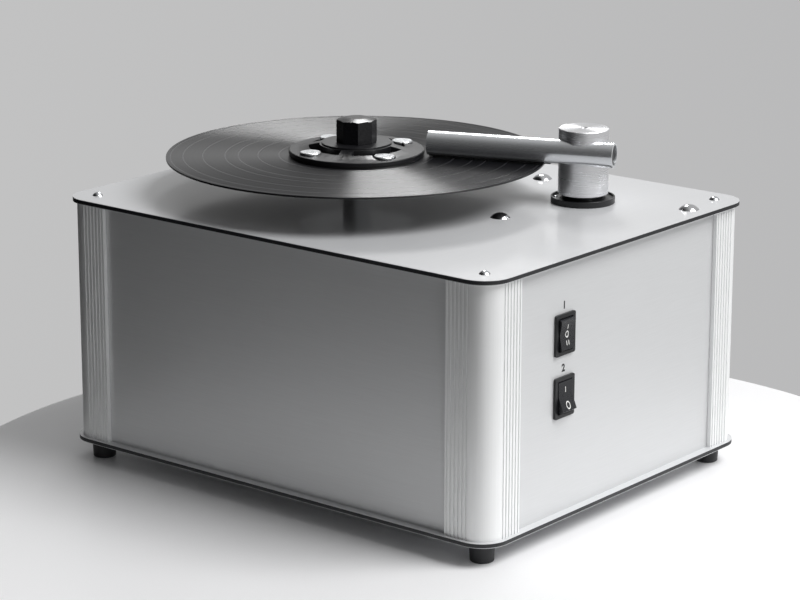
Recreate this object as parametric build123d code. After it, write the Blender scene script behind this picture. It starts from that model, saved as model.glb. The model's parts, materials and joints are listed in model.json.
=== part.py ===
from build123d import *
import math
import os

# Record cleaning machine. Millimetres, Z up. The origin is the middle of the floor under the box,
# the front panel with the switches faces -Y and the left side faces -X.

# Composite plates at top and bottom
PLATE_WIDTH = 339.0
PLATE_LENGTH = 426.0
PLATE_CORNER = 22.3
CORE_THICKNESS = 2.9
SKIN_THICKNESS = 0.3
BOX_HEIGHT = 200.0

# Corner posts, aluminium extrusions
POST_INSET = 3.3
POST_FLANGE = 39.0
POST_RADIUS = 19.0
POST_WALL = 2.5
POST_INNER_WALL = 2.0
POST_BACK_LIP = 2.0
POST_SLOT_DEPTH = 10.0
RIB_GROOVES = 6
RIB_PITCH = 3.6
RIB_LAND = 2.1
GROOVE_WIDTH = 1.7
GROOVE_DEPTH = 0.9
PORT_WALL = 3.2
PORT_SINK = 1.2

# Side panels
PANEL_THICKNESS = 2.0
PANEL_RECESS = 3.5
PANEL_ENGAGEMENT = 9.0
PANEL_END_CLEARANCE = 0.2

# Feet and corner screws
SCREW_INSET = 20.5
SCREW_RADIUS = 2.0
SCREW_HEAD_RADIUS = 4.2
SCREW_HEAD_HEIGHT = 2.5
SCREW_GRIP = 14.0
FOOT_HEIGHT = 16.0
FOOT_TOP_RADIUS = 10.5
FOOT_BOTTOM_RADIUS = 9.0
FOOT_LIP = 2.0
FOOT_RECESS = 7.0
FOOT_RECESS_CLEARANCE = 0.6

# Arm column position: the gaps from the tank round it to the right and front edges of the plate
TANK_SIDE_CLEARANCE = 17.0
TANK_FRONT_CLEARANCE = 21.7

# Spindle position: the gap from the column's axis to the record's edge, and the bearing of the spindle
COLUMN_TO_RECORD = 29.5
SPINDLE_BEARING_DEG = 120.3

# Record
RECORD_RADIUS = 150.5
RECORD_THICKNESS = 1.5
RECORD_HEIGHT = 30.3
GROOVE_AREA_THICKNESS = 1.2
LABEL_RADIUS = 50.0
RIM_BEAD = 2.5
RECORD_HOLE_CLEARANCE = 0.12

# Spindle, column and support disc
SHAFT_RADIUS = 5.0
SHAFT_TIP_RADIUS = 3.5
SHAFT_TIP_RISE = 22.0
SPINDLE_COLUMN_RADIUS = 11.0
SUPPORT_RADIUS = 46.0
SUPPORT_THICKNESS = 4.0
SUPPORT_HUB_HEIGHT = 8.0
SUPPORT_HUB_WALL = 6.0
MAT_THICKNESS = 1.5

# Spindle bearing and drive
BEARING_FLANGE = 72.0
BEARING_FLANGE_THICKNESS = 5.0
BEARING_HOUSING_RADIUS = 14.0
BEARING_HOUSING_LENGTH = 46.0
BUSH_WALL = 3.0
BUSH_LENGTH = 12.0
STANDOFF_RADIUS = 4.0
STANDOFF_LENGTH = 52.0
STANDOFF_INSET = 7.0
BRACKET_THICKNESS = 3.0
GEARBOX_WIDTH = 62.0
GEARBOX_LENGTH = 56.0
GEARBOX_HEIGHT = 30.0
GEARBOX_CORNER = 6.0
SHAFT_ENGAGEMENT = 20.0
DRIVE_MOTOR_RADIUS = 27.0
DRIVE_MOTOR_HEIGHT = 46.0
DRIVE_MOTOR_RIM = 3.0

# Clamp
CLAMP_RADIUS = 53.7
CLAMP_RIM_THICKNESS = 3.2
CLAMP_RIM_ROUND = 0.6
CLAMP_CONE_RADIUS = 47.5
CLAMP_SHOULDER_DROP = 1.4
CLAMP_HUB_RADIUS = 27.7
CLAMP_HUB_RISE = 5.7
CLAMP_POCKET_INNER = 29.4
CLAMP_POCKET_OUTER = 38.0
CLAMP_POCKET_DEPTH = 1.7
CLAMP_SPOKE_WIDTH = 10.0
CLAMP_ARMS = 4
CLAMP_STUD_DEG = -19.5
STUD_CIRCLE_RADIUS = 42.0
STUD_RADIUS = 8.5
STUD_HEIGHT = 2.1
STUD_CROWN = 0.7
STUD_SHANK_RADIUS = 3.0
STUD_SEAT_CLEARANCE = 0.8
SEAL_RING_WIDTH = 6.0
SEAL_RING_THICKNESS = 1.2
KNOB_RADIUS = 16.0
KNOB_SIDES = 8
KNOB_TURN_DEG = -1.0
KNOB_HEIGHT = 17.6
KNOB_CROWN = 2.0
KNOB_CROWN_EDGE = 0.4
KNOB_CROWN_RADIUS = 9.5
KNOB_BUTTON_RADIUS = 6.0

# Suction arm
ARM_BEARING_DEG = 111.4
ARM_OFFSET = 12.5
ARM_TUBE_RADIUS = 10.0
ARM_TUBE_WALL = 2.0
ARM_TAIL = 27.7
ARM_FLAT = 8.3
ARM_CLAMP_GAP = 2.0
ARM_SLOT_WIDTH = 3.6
ARM_SLOT_INSET = 4.0
ARM_PLUG_THICKNESS = 6.0
ARM_PLUG_RECESS = 1.2
STRIP_THICKNESS = 1.0
STRIP_WIDTH = 3.2
STRIP_OVERHANG = 6.0
STRIP_GAP = 0.3
HEAD_RADIUS = 19.8
HEAD_ABOVE_ARM = 17.6
HEAD_EDGE = 0.6
HEAD_DIMPLE_RADIUS = 2.4
HEAD_PASSAGE_RADIUS = 4.0
HEAD_BORE_DEPTH = 20.0
LIFT_TUBE_RADIUS = 16.0
LIFT_TUBE_WALL = 2.5
LIFT_TUBE_TAIL = 23.2
ARM_LIFT = 12.0

# Collar round the arm column, its seal and the guide bush below
COLLAR_RADIUS = 25.25
COLLAR_HEIGHT = 4.8
COLLAR_LIP = 1.2
COLLAR_LIP_HEIGHT = 1.6
COLLAR_HEAD_GAP = 2.0
COLLAR_SCREWS = 3
COLLAR_SCREW_CIRCLE = 21.6
COLLAR_SCREW_DEG = 0.5
COLLAR_SCREW_RADIUS = 1.25
COLLAR_SCREW_HEAD_RADIUS = 2.0
COLLAR_SCREW_HEAD_HEIGHT = 0.9
COLLAR_SEAL_WIDTH = 1.8
GUIDE_WALL = 3.4
GUIDE_LENGTH = 22.0
GUIDE_FLANGE_WIDTH = 5.0
GUIDE_FLANGE_THICKNESS = 3.0

# Separator tank
TANK_RADIUS = 75.0
TANK_WALL = 3.0
TANK_HEIGHT = 118.0
TANK_FLANGE_THICKNESS = 5.0
TANK_SEAL_WIDTH = 8.0
TANK_GASKET_THICKNESS = 1.5
TANK_LUG_REACH = 10.0
TANK_BOLT_DEGS = (58.2, 167.5, 291.4)
TANK_LUG_RADIUS = 7.5
TANK_BOLT_RADIUS = 3.0
TANK_BOLT_HEAD_RADIUS = 8.0
TANK_BOLT_HEAD_HEIGHT = 3.9
TANK_NUT_FLATS = 10.0
TANK_NUT_HEIGHT = 5.0
TANK_BOLT_TAIL = 2.0
TANK_PORT_PAD = 3.0
TANK_PORT_DROP = 58.0

# Air hose from the tank to the fan
HOSE_RADIUS = 14.0
HOSE_WALL = 3.0
HOSE_BEND = 26.0
SPIGOT_WALL = 2.5
SPIGOT_LENGTH = 14.0

# Vacuum fan and its motor, position from the right and rear edges of the plate
FAN_FROM_RIGHT = 79.5
FAN_FROM_REAR = 98.0
FAN_RADIUS = 56.0
FAN_WALL = 3.0
FAN_PLENUM_HEIGHT = 36.0
FAN_CHAMBER_HEIGHT = 18.0
FAN_EYE_RADIUS = 20.0
FAN_OUTLET_WIDTH = 40.0
FAN_OUTLET_HEIGHT = 14.0
IMPELLER_RADIUS = 47.0
IMPELLER_HUB_RADIUS = 10.0
IMPELLER_DISC = 2.0
IMPELLER_VANES = 12
IMPELLER_VANE_HEIGHT = 10.0
IMPELLER_VANE_THICKNESS = 1.5
IMPELLER_VANE_INNER = 18.0
IMPELLER_VANE_SAG = 5.0
IMPELLER_VANE_SWEEP_DEG = 30.0
IMPELLER_SHAFT_RADIUS = 4.0
IMPELLER_SHAFT_LENGTH = 40.0
VACUUM_MOTOR_RADIUS = 42.0
VACUUM_MOTOR_HEIGHT = 76.0
VACUUM_MOTOR_CAP = 14.0

# Rocker switches in the front panel, position from the left edge and the top face
SWITCH_FROM_LEFT = 99.1
SWITCH_FROM_TOP = 59.0
SWITCH_PITCH = 48.0
BEZEL_WIDTH = 24.0
BEZEL_HEIGHT = 31.5
BEZEL_THICKNESS = 2.0
BEZEL_CORNER = 1.5
BEZEL_EDGE = 3.1
SWITCH_NECK = 1.2
SWITCH_DEPTH = 26.0
ROCKER_ARC_RADIUS = 12.4
ROCKER_TIP_DEG = 27.0
ROCKER_BACK_DEG = 22.0
ROCKER_THROW_DEG = 12.0
ROCKER_VALLEY = 3.6
ROCKER_CLEARANCE = 0.4
ROCKER_PIVOT_DEPTH = 3.0
ROCKER_PIN_RADIUS = 1.6
TERMINAL_WIDTH = 6.3
TERMINAL_THICKNESS = 0.8
TERMINAL_LENGTH = 8.0
TERMINAL_PITCH = 8.0
TERMINAL_COLUMN_PITCH = 9.0

# Mains inlet in the rear panel, position from the left edge and the top face of the bottom plate
INLET_FROM_LEFT = 85.0
INLET_HEIGHT = 45.0
INLET_FLANGE_WIDTH = 50.0
INLET_FLANGE_HEIGHT = 34.0
INLET_FLANGE_THICKNESS = 2.5
INLET_CORNER = 4.0
INLET_BODY_WIDTH = 28.0
INLET_BODY_DEPTH = 27.0
INLET_SOCKET_WIDTH = 24.2
INLET_SOCKET_HEIGHT = 16.4
INLET_SOCKET_DEPTH = 19.0
INLET_SOCKET_CHAMFER = 4.0
INLET_SOCKET_DROP = 5.0
INLET_PIN_WIDTH = 2.0
INLET_PIN_HEIGHT = 4.0
INLET_PIN_LENGTH = 13.0
INLET_PIN_PITCH = 7.0
INLET_EARTH_RISE = 2.0
INLET_SCREW_PITCH = 40.0
INLET_SCREW_RADIUS = 1.5
INLET_SCREW_HEAD_RADIUS = 2.8
INLET_SCREW_HEAD_HEIGHT = 1.6
FUSE_WIDTH = 22.0
FUSE_HEIGHT = 7.0
FUSE_DEPTH = 20.0
FUSE_RISE = 9.5
FUSE_PULL = 1.2
FUSE_CLEARANCE = 0.2

# Exhaust slots in the rear panel
EXHAUST_SLOTS = 7
EXHAUST_SLOT_LENGTH = 38.0
EXHAUST_SLOT_WIDTH = 3.0
EXHAUST_SLOT_PITCH = 7.0

# Drain through the right panel
DRAIN_RISE = 16.0
DRAIN_RADIUS = 7.0
DRAIN_WALL = 2.5
DRAIN_PROUD = 4.2
DRAIN_FLANGE_RADIUS = 11.0
DRAIN_FLANGE_THICKNESS = 2.0
DRAIN_CAP_RADIUS = 11.0
DRAIN_CAP_THICKNESS = 5.8
DRAIN_CAP_FLUTES = 12
DRAIN_CAP_FLUTE_RADIUS = 1.2

# Run capacitor of the drive motor, position from the left and rear edges
CAPACITOR_FROM_LEFT = 60.0
CAPACITOR_FROM_REAR = 110.0
CAPACITOR_RADIUS = 18.0
CAPACITOR_HEIGHT = 62.0
CAPACITOR_EDGE = 1.0

# Clearances
FIT = 0.05
SHEET_HOLE_CLEARANCE = 0.1
SEAT = 0.1
AIR = 0.3

# Levels and places that follow
PLATE_THICKNESS = CORE_THICKNESS + 2 * SKIN_THICKNESS
Z_BASE = FOOT_HEIGHT
Z_FLOOR = Z_BASE + PLATE_THICKNESS
Z_TOP = Z_BASE + BOX_HEIGHT
Z_CEILING = Z_TOP - PLATE_THICKNESS
HALF_WIDTH = PLATE_WIDTH / 2
HALF_LENGTH = PLATE_LENGTH / 2
POST_X = HALF_WIDTH - POST_INSET
POST_Y = HALF_LENGTH - POST_INSET
PANEL_X = POST_X - PANEL_RECESS
PANEL_Y = POST_Y - PANEL_RECESS
COLUMN_X = HALF_WIDTH - TANK_SIDE_CLEARANCE - TANK_RADIUS
COLUMN_Y = -HALF_LENGTH + TANK_FRONT_CLEARANCE + TANK_RADIUS
TANK_BOLT_CIRCLE = TANK_RADIUS + TANK_LUG_REACH
SPINDLE_SPACING = RECORD_RADIUS + COLUMN_TO_RECORD
SPINDLE_X = COLUMN_X + SPINDLE_SPACING * math.cos(math.radians(SPINDLE_BEARING_DEG))
SPINDLE_Y = COLUMN_Y + SPINDLE_SPACING * math.sin(math.radians(SPINDLE_BEARING_DEG))
FAN_X = HALF_WIDTH - FAN_FROM_RIGHT
FAN_Y = HALF_LENGTH - FAN_FROM_REAR
RECORD_BOTTOM = Z_TOP + RECORD_HEIGHT
RECORD_TOP = RECORD_BOTTOM + RECORD_THICKNESS
SUPPORT_TOP = RECORD_BOTTOM - MAT_THICKNESS
SUPPORT_BOTTOM = SUPPORT_TOP - SUPPORT_THICKNESS
CLAMP_BOTTOM = RECORD_TOP + SEAT + SEAL_RING_THICKNESS
CLAMP_RIM_TOP = CLAMP_BOTTOM + CLAMP_RIM_THICKNESS
CLAMP_HUB_TOP = CLAMP_RIM_TOP + CLAMP_HUB_RISE
KNOB_BOTTOM = CLAMP_HUB_TOP + SEAT
KNOB_TOP = KNOB_BOTTOM + KNOB_HEIGHT + KNOB_CROWN
SHAFT_TOP = RECORD_TOP + SHAFT_TIP_RISE
ARM_AXIS_Z = RECORD_TOP + STRIP_GAP + STRIP_THICKNESS + ARM_FLAT
COLLAR_TOP = Z_TOP + COLLAR_HEIGHT
COLLAR_FLOOR = COLLAR_TOP - COLLAR_LIP_HEIGHT
HEAD_BOTTOM = COLLAR_TOP + COLLAR_HEAD_GAP
HEAD_TOP = ARM_AXIS_Z + HEAD_ABOVE_ARM
LIFT_TUBE_TOP = HEAD_BOTTOM + HEAD_BORE_DEPTH
TANK_RIM_TOP = Z_CEILING - TANK_GASKET_THICKNESS
TANK_BOTTOM = TANK_RIM_TOP - TANK_HEIGHT
FAN_TOP = Z_FLOOR + FAN_PLENUM_HEIGHT + FAN_CHAMBER_HEIGHT + 3 * FAN_WALL

UP = (Align.CENTER, Align.CENTER, Align.MIN)
LOW = (Align.MIN, Align.MIN, Align.MIN)


def rod(radius, z_low, z_high, x=0.0, y=0.0):
    return Pos(x, y, z_low) * Cylinder(radius, z_high - z_low, align=UP)


def rod_x(radius, x_low, x_high, y=0.0, z=0.0):
    return Pos(x_low, y, z) * Rot(0, 90, 0) * Cylinder(radius, x_high - x_low, align=UP)


def rod_y(radius, y_low, y_high, x=0.0, z=0.0):
    return Pos(x, y_low, z) * Rot(-90, 0, 0) * Cylinder(radius, y_high - y_low, align=UP)


def block(x_low, x_high, y_low, y_high, z_low, z_high):
    return Pos(x_low, y_low, z_low) * Box(x_high - x_low, y_high - y_low, z_high - z_low, align=LOW)


def turned(*points, x=0.0, y=0.0):
    # A body of revolution about Z from (radius, z) points.
    outline = Polyline([(radius, 0, z) for radius, z in points], close=True)
    return Pos(x, y) * revolve(make_face(outline), Axis.Z)


def dome(radius, height, z_base, x=0.0, y=0.0):
    # A round screw head: the cap of a sphere that stands on z_base.
    arc_radius = (radius ** 2 + height ** 2) / (2 * height)
    middle = math.asin(radius / arc_radius) / 2
    half_way = (arc_radius * math.sin(middle), 0, height - arc_radius * (1 - math.cos(middle)))
    edges = [
        Line((0, 0, 0), (radius, 0, 0)),
        ThreePointArc((radius, 0, 0), half_way, (0, 0, height)),
        Line((0, 0, height), (0, 0, 0)),
    ]
    return Pos(x, y, z_base) * revolve(make_face(edges), Axis.Z)


def on_circle(radius, degrees, x=0.0, y=0.0):
    angle = math.radians(degrees)
    return x + radius * math.cos(angle), y + radius * math.sin(angle)


def spread(count, first_deg):
    return [first_deg + 360 * index / count for index in range(count)]


def corner_places():
    x = HALF_WIDTH - SCREW_INSET
    y = HALF_LENGTH - SCREW_INSET
    return {"front_left": (-x, -y), "front_right": (x, -y), "rear_left": (-x, y), "rear_right": (x, y)}


def tank_bolt_places():
    return [on_circle(TANK_BOLT_CIRCLE, degrees, COLUMN_X, COLUMN_Y) for degrees in TANK_BOLT_DEGS]


def collar_screw_places():
    degrees = spread(COLLAR_SCREWS, COLLAR_SCREW_DEG)
    return [on_circle(COLLAR_SCREW_CIRCLE, degree, COLUMN_X, COLUMN_Y) for degree in degrees]


# Plates

def plate_layer(z_low, z_high, holes):
    sheet = RectangleRounded(PLATE_WIDTH, PLATE_LENGTH, PLATE_CORNER)
    for radius, x, y in holes:
        sheet -= Pos(x, y) * Circle(radius)
    return Pos(0, 0, z_low) * extrude(sheet, z_high - z_low)


def plate(z_low, holes):
    z_core = z_low + SKIN_THICKNESS
    z_upper = z_core + CORE_THICKNESS
    lower_skin = plate_layer(z_low, z_core, holes)
    upper_skin = plate_layer(z_upper, z_upper + SKIN_THICKNESS, holes)
    return plate_layer(z_core, z_upper, holes), [lower_skin, upper_skin]


def corner_holes():
    return [(SCREW_RADIUS + SHEET_HOLE_CLEARANCE, x, y) for x, y in corner_places().values()]


def top_holes():
    holes = corner_holes()
    holes += [(TANK_BOLT_RADIUS + SHEET_HOLE_CLEARANCE, x, y) for x, y in tank_bolt_places()]
    holes += [(COLLAR_SCREW_RADIUS + SHEET_HOLE_CLEARANCE, x, y) for x, y in collar_screw_places()]
    holes.append((SHAFT_RADIUS + AIR, SPINDLE_X, SPINDLE_Y))
    holes.append((LIFT_TUBE_RADIUS + GUIDE_WALL + SHEET_HOLE_CLEARANCE, COLUMN_X, COLUMN_Y))
    return holes


# Posts

def rectangle(x, y, width, height):
    return Pos(x, y) * Rectangle(width, height, align=(Align.MIN, Align.MIN))


def rounded_corner(sketch, x, y, radius):
    corner = sketch.vertices().sort_by_distance((x, y, 0))[0]
    return fillet(corner, radius)


def post_section():
    # The extrusion's section with its outer corner at the origin and its flanges along +X and +Y.
    port_place = SCREW_INSET - POST_INSET
    port_radius = SCREW_RADIUS + PORT_WALL
    box = port_place + port_radius - PORT_SINK + POST_INNER_WALL
    slot_front = PANEL_RECESS - SHEET_HOLE_CLEARANCE
    slot_width = PANEL_THICKNESS + 2 * SHEET_HOLE_CLEARANCE
    flange_depth = slot_front + slot_width + POST_BACK_LIP
    section = rectangle(0, 0, box, box)
    section += rectangle(0, 0, POST_FLANGE, flange_depth)
    section += rectangle(0, 0, flange_depth, POST_FLANGE)
    section = rounded_corner(section, 0, 0, POST_RADIUS)
    chamber_size = box - POST_WALL - POST_INNER_WALL
    chamber = rectangle(POST_WALL, POST_WALL, chamber_size, chamber_size)
    chamber = rounded_corner(chamber, POST_WALL, POST_WALL, POST_RADIUS - POST_WALL)
    port = Pos(port_place, port_place) * Circle(port_radius)
    section -= chamber - port
    section -= Pos(port_place, port_place) * Circle(SCREW_RADIUS + FIT)
    slot_start = POST_FLANGE - POST_SLOT_DEPTH
    section -= rectangle(slot_start, slot_front, POST_SLOT_DEPTH, slot_width)
    section -= rectangle(slot_front, slot_start, slot_width, POST_SLOT_DEPTH)
    for index in range(RIB_GROOVES):
        groove_centre = POST_FLANGE - RIB_LAND - index * RIB_PITCH
        groove_start = groove_centre - GROOVE_WIDTH / 2
        section -= rectangle(groove_start, 0, GROOVE_WIDTH, GROOVE_DEPTH)
        section -= rectangle(0, groove_start, GROOVE_DEPTH, GROOVE_WIDTH)
    return section


def corner_posts():
    post = Pos(-POST_X, -POST_Y, Z_FLOOR) * extrude(post_section(), Z_CEILING - Z_FLOOR)
    right = mirror(post, Plane.YZ)
    return {
        "front_left": post,
        "front_right": right,
        "rear_left": mirror(post, Plane.XZ),
        "rear_right": mirror(right, Plane.XZ),
    }


# Feet and corner screws

def foot(x, y):
    recess = SCREW_HEAD_RADIUS + FOOT_RECESS_CLEARANCE
    bore = SCREW_RADIUS + SHEET_HOLE_CLEARANCE
    lip_low = FOOT_HEIGHT - FOOT_LIP
    edge = FOOT_BOTTOM_RADIUS - FOOT_RECESS_CLEARANCE
    waist = (FOOT_BOTTOM_RADIUS + FOOT_TOP_RADIUS) / 2
    return turned(
        (recess, 0), (edge, 0), (FOOT_BOTTOM_RADIUS, FOOT_RECESS_CLEARANCE), (waist, lip_low),
        (FOOT_TOP_RADIUS, lip_low), (FOOT_TOP_RADIUS, FOOT_HEIGHT), (bore, FOOT_HEIGHT),
        (bore, FOOT_RECESS), (recess, FOOT_RECESS), x=x, y=y)


def top_corner_screw(x, y):
    shank = rod(SCREW_RADIUS, Z_CEILING - SCREW_GRIP, Z_TOP, x, y)
    return shank + dome(SCREW_HEAD_RADIUS, SCREW_HEAD_HEIGHT, Z_TOP, x, y)


def bottom_corner_screw(x, y):
    head = rod(SCREW_HEAD_RADIUS, FOOT_RECESS - SCREW_HEAD_HEIGHT, FOOT_RECESS, x, y)
    return head + rod(SCREW_RADIUS, FOOT_RECESS, Z_FLOOR + SCREW_GRIP, x, y)


# Panels

def panel_span(post_side):
    # Half the width of a panel whose edges sit in the slots of two posts.
    return post_side - POST_FLANGE + PANEL_ENGAGEMENT


def panel_top():
    return Z_CEILING - PANEL_END_CLEARANCE


def switch_places():
    x = -HALF_WIDTH + SWITCH_FROM_LEFT
    z = Z_TOP - SWITCH_FROM_TOP
    return {"motor": (x, z), "vacuum": (x, z - SWITCH_PITCH)}


def switch_neck():
    # Width and height of the switch body where it passes through the panel.
    return BEZEL_WIDTH - 2 * SWITCH_NECK, BEZEL_HEIGHT - 2 * SWITCH_NECK


def front_panel():
    half = panel_span(POST_X)
    panel = block(-half, half, -PANEL_Y, -PANEL_Y + PANEL_THICKNESS, Z_FLOOR, panel_top())
    width, height = switch_neck()
    half_x = width / 2 + SHEET_HOLE_CLEARANCE
    half_z = height / 2 + SHEET_HOLE_CLEARANCE
    for x, z in switch_places().values():
        panel -= block(
            x - half_x, x + half_x, -PANEL_Y - PANEL_THICKNESS, -PANEL_Y + 2 * PANEL_THICKNESS,
            z - half_z, z + half_z)
    return panel


def exhaust_place():
    # Middle of the slot field, level with the fan's outlet.
    return FAN_X, Z_FLOOR + 2 * FAN_WALL + FAN_PLENUM_HEIGHT + FAN_CHAMBER_HEIGHT / 2


def rear_panel():
    half = panel_span(POST_X)
    panel = block(-half, half, PANEL_Y - PANEL_THICKNESS, PANEL_Y, Z_FLOOR, panel_top())
    x, z = exhaust_place()
    for index in range(EXHAUST_SLOTS):
        slot_z = z + (index - (EXHAUST_SLOTS - 1) / 2) * EXHAUST_SLOT_PITCH
        slot = SlotOverall(EXHAUST_SLOT_LENGTH, EXHAUST_SLOT_WIDTH)
        cutter = Plane(origin=(x, PANEL_Y, slot_z), x_dir=(1, 0, 0), z_dir=(0, -1, 0)) * slot
        panel -= extrude(cutter, 2 * PANEL_THICKNESS, both=True)
    inlet_x, inlet_z = inlet_place()
    half_x = INLET_BODY_WIDTH / 2 + SHEET_HOLE_CLEARANCE
    half_z = inlet_body_half_height() + SHEET_HOLE_CLEARANCE
    panel -= block(
        inlet_x - half_x, inlet_x + half_x, PANEL_Y - 2 * PANEL_THICKNESS, PANEL_Y + PANEL_THICKNESS,
        inlet_z - half_z, inlet_z + half_z)
    for side in (-1, 1):
        hole = INLET_SCREW_RADIUS + SHEET_HOLE_CLEARANCE
        screw_x = inlet_x + side * INLET_SCREW_PITCH / 2
        panel -= rod_y(hole, PANEL_Y - 2 * PANEL_THICKNESS, PANEL_Y + PANEL_THICKNESS, screw_x, inlet_z)
    return panel


def left_panel():
    half = panel_span(POST_Y)
    return block(-PANEL_X, -PANEL_X + PANEL_THICKNESS, -half, half, Z_FLOOR, panel_top())


def drain_level():
    return TANK_BOTTOM + DRAIN_RISE


def right_panel():
    half = panel_span(POST_Y)
    panel = block(PANEL_X - PANEL_THICKNESS, PANEL_X, -half, half, Z_FLOOR, panel_top())
    hole = DRAIN_RADIUS + SHEET_HOLE_CLEARANCE
    inside = PANEL_X - 2 * PANEL_THICKNESS
    return panel - rod_x(hole, inside, PANEL_X + PANEL_THICKNESS, COLUMN_Y, drain_level())


# Turntable

def record():
    relief = (RECORD_THICKNESS - GROOVE_AREA_THICKNESS) / 2
    hole = SHAFT_TIP_RADIUS + RECORD_HOLE_CLEARANCE
    ramp = LABEL_RADIUS + relief
    bead = RECORD_RADIUS - RIM_BEAD
    rim = RECORD_RADIUS - relief
    return turned(
        (hole, RECORD_BOTTOM), (LABEL_RADIUS, RECORD_BOTTOM), (ramp, RECORD_BOTTOM + relief),
        (bead, RECORD_BOTTOM + relief), (bead + relief, RECORD_BOTTOM), (rim, RECORD_BOTTOM),
        (RECORD_RADIUS, RECORD_BOTTOM + relief), (RECORD_RADIUS, RECORD_TOP - relief),
        (rim, RECORD_TOP), (bead + relief, RECORD_TOP), (bead, RECORD_TOP - relief),
        (ramp, RECORD_TOP - relief), (LABEL_RADIUS, RECORD_TOP), (hole, RECORD_TOP),
        x=SPINDLE_X, y=SPINDLE_Y)


def support_disc():
    bore = SHAFT_RADIUS + FIT
    hub = SHAFT_RADIUS + SUPPORT_HUB_WALL
    hub_low = SUPPORT_BOTTOM - SUPPORT_HUB_HEIGHT
    shoulder = SUPPORT_TOP - SUPPORT_THICKNESS / 2
    tip = SHAFT_TIP_RADIUS + FIT
    return turned(
        (bore, hub_low), (hub, hub_low), (hub, SUPPORT_BOTTOM), (SUPPORT_RADIUS, SUPPORT_BOTTOM),
        (SUPPORT_RADIUS, SUPPORT_TOP), (tip, SUPPORT_TOP), (tip, shoulder), (bore, shoulder),
        x=SPINDLE_X, y=SPINDLE_Y)


def support_mat():
    bore = SHAFT_TIP_RADIUS + RECORD_HOLE_CLEARANCE
    disc = rod(SUPPORT_RADIUS, SUPPORT_TOP, RECORD_BOTTOM, SPINDLE_X, SPINDLE_Y)
    return disc - rod(bore, SUPPORT_TOP, RECORD_BOTTOM, SPINDLE_X, SPINDLE_Y)


def spindle_column():
    low = Z_TOP + AIR
    high = SUPPORT_BOTTOM - SUPPORT_HUB_HEIGHT
    sleeve = rod(SPINDLE_COLUMN_RADIUS, low, high, SPINDLE_X, SPINDLE_Y)
    return sleeve - rod(SHAFT_RADIUS + FIT, low, high, SPINDLE_X, SPINDLE_Y)


def gearbox_top():
    return Z_CEILING - BEARING_FLANGE_THICKNESS - STANDOFF_LENGTH - BRACKET_THICKNESS


def spindle_shaft():
    low = gearbox_top() - SHAFT_ENGAGEMENT
    shoulder = SUPPORT_TOP - SUPPORT_THICKNESS / 2
    lower = rod(SHAFT_RADIUS, low, shoulder, SPINDLE_X, SPINDLE_Y)
    return lower + rod(SHAFT_TIP_RADIUS, shoulder, SHAFT_TOP, SPINDLE_X, SPINDLE_Y)


# Bearing and drive under the top plate

def standoff_places():
    reach = BEARING_FLANGE / 2 - STANDOFF_INSET
    sides = (-reach, reach)
    return [(SPINDLE_X + side_x, SPINDLE_Y + side_y) for side_x in sides for side_y in sides]


def bearing_housing():
    flange_low = Z_CEILING - BEARING_FLANGE_THICKNESS
    low = Z_CEILING - BEARING_HOUSING_LENGTH
    flange = Pos(SPINDLE_X, SPINDLE_Y, flange_low) * extrude(
        RectangleRounded(BEARING_FLANGE, BEARING_FLANGE, STANDOFF_INSET), BEARING_FLANGE_THICKNESS)
    housing = flange + rod(BEARING_HOUSING_RADIUS, low, Z_CEILING, SPINDLE_X, SPINDLE_Y)
    return housing - rod(SHAFT_RADIUS + BUSH_WALL + FIT, low, Z_CEILING, SPINDLE_X, SPINDLE_Y)


def bearing_bushes():
    low = Z_CEILING - BEARING_HOUSING_LENGTH
    bushes = []
    for z in (low, Z_CEILING - BUSH_LENGTH):
        outside = rod(SHAFT_RADIUS + BUSH_WALL, z, z + BUSH_LENGTH, SPINDLE_X, SPINDLE_Y)
        bushes.append(outside - rod(SHAFT_RADIUS + FIT, z, z + BUSH_LENGTH, SPINDLE_X, SPINDLE_Y))
    return bushes


def bracket_standoffs():
    high = Z_CEILING - BEARING_FLANGE_THICKNESS
    return [rod(STANDOFF_RADIUS, high - STANDOFF_LENGTH, high, x, y) for x, y in standoff_places()]


def motor_bracket():
    low = gearbox_top()
    sheet = RectangleRounded(BEARING_FLANGE, BEARING_FLANGE, STANDOFF_INSET)
    sheet -= Circle(SHAFT_RADIUS + BUSH_WALL)
    return Pos(SPINDLE_X, SPINDLE_Y, low) * extrude(sheet, BRACKET_THICKNESS)


def gearbox():
    low = gearbox_top() - GEARBOX_HEIGHT
    case = Pos(SPINDLE_X, SPINDLE_Y, low) * extrude(
        RectangleRounded(GEARBOX_WIDTH, GEARBOX_LENGTH, GEARBOX_CORNER), GEARBOX_HEIGHT)
    bore_low = gearbox_top() - SHAFT_ENGAGEMENT - AIR
    return case - rod(SHAFT_RADIUS + FIT, bore_low, gearbox_top(), SPINDLE_X, SPINDLE_Y)


def drive_motor():
    high = gearbox_top() - GEARBOX_HEIGHT
    low = high - DRIVE_MOTOR_HEIGHT
    rim = DRIVE_MOTOR_RADIUS - DRIVE_MOTOR_RIM
    return turned(
        (0, low), (rim, low), (DRIVE_MOTOR_RADIUS, low + DRIVE_MOTOR_RIM), (DRIVE_MOTOR_RADIUS, high),
        (0, high), x=SPINDLE_X, y=SPINDLE_Y)


# Clamp

def clamp_stud_places():
    degrees = spread(CLAMP_ARMS, CLAMP_STUD_DEG)
    return [on_circle(STUD_CIRCLE_RADIUS, degree, SPINDLE_X, SPINDLE_Y) for degree in degrees]


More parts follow.
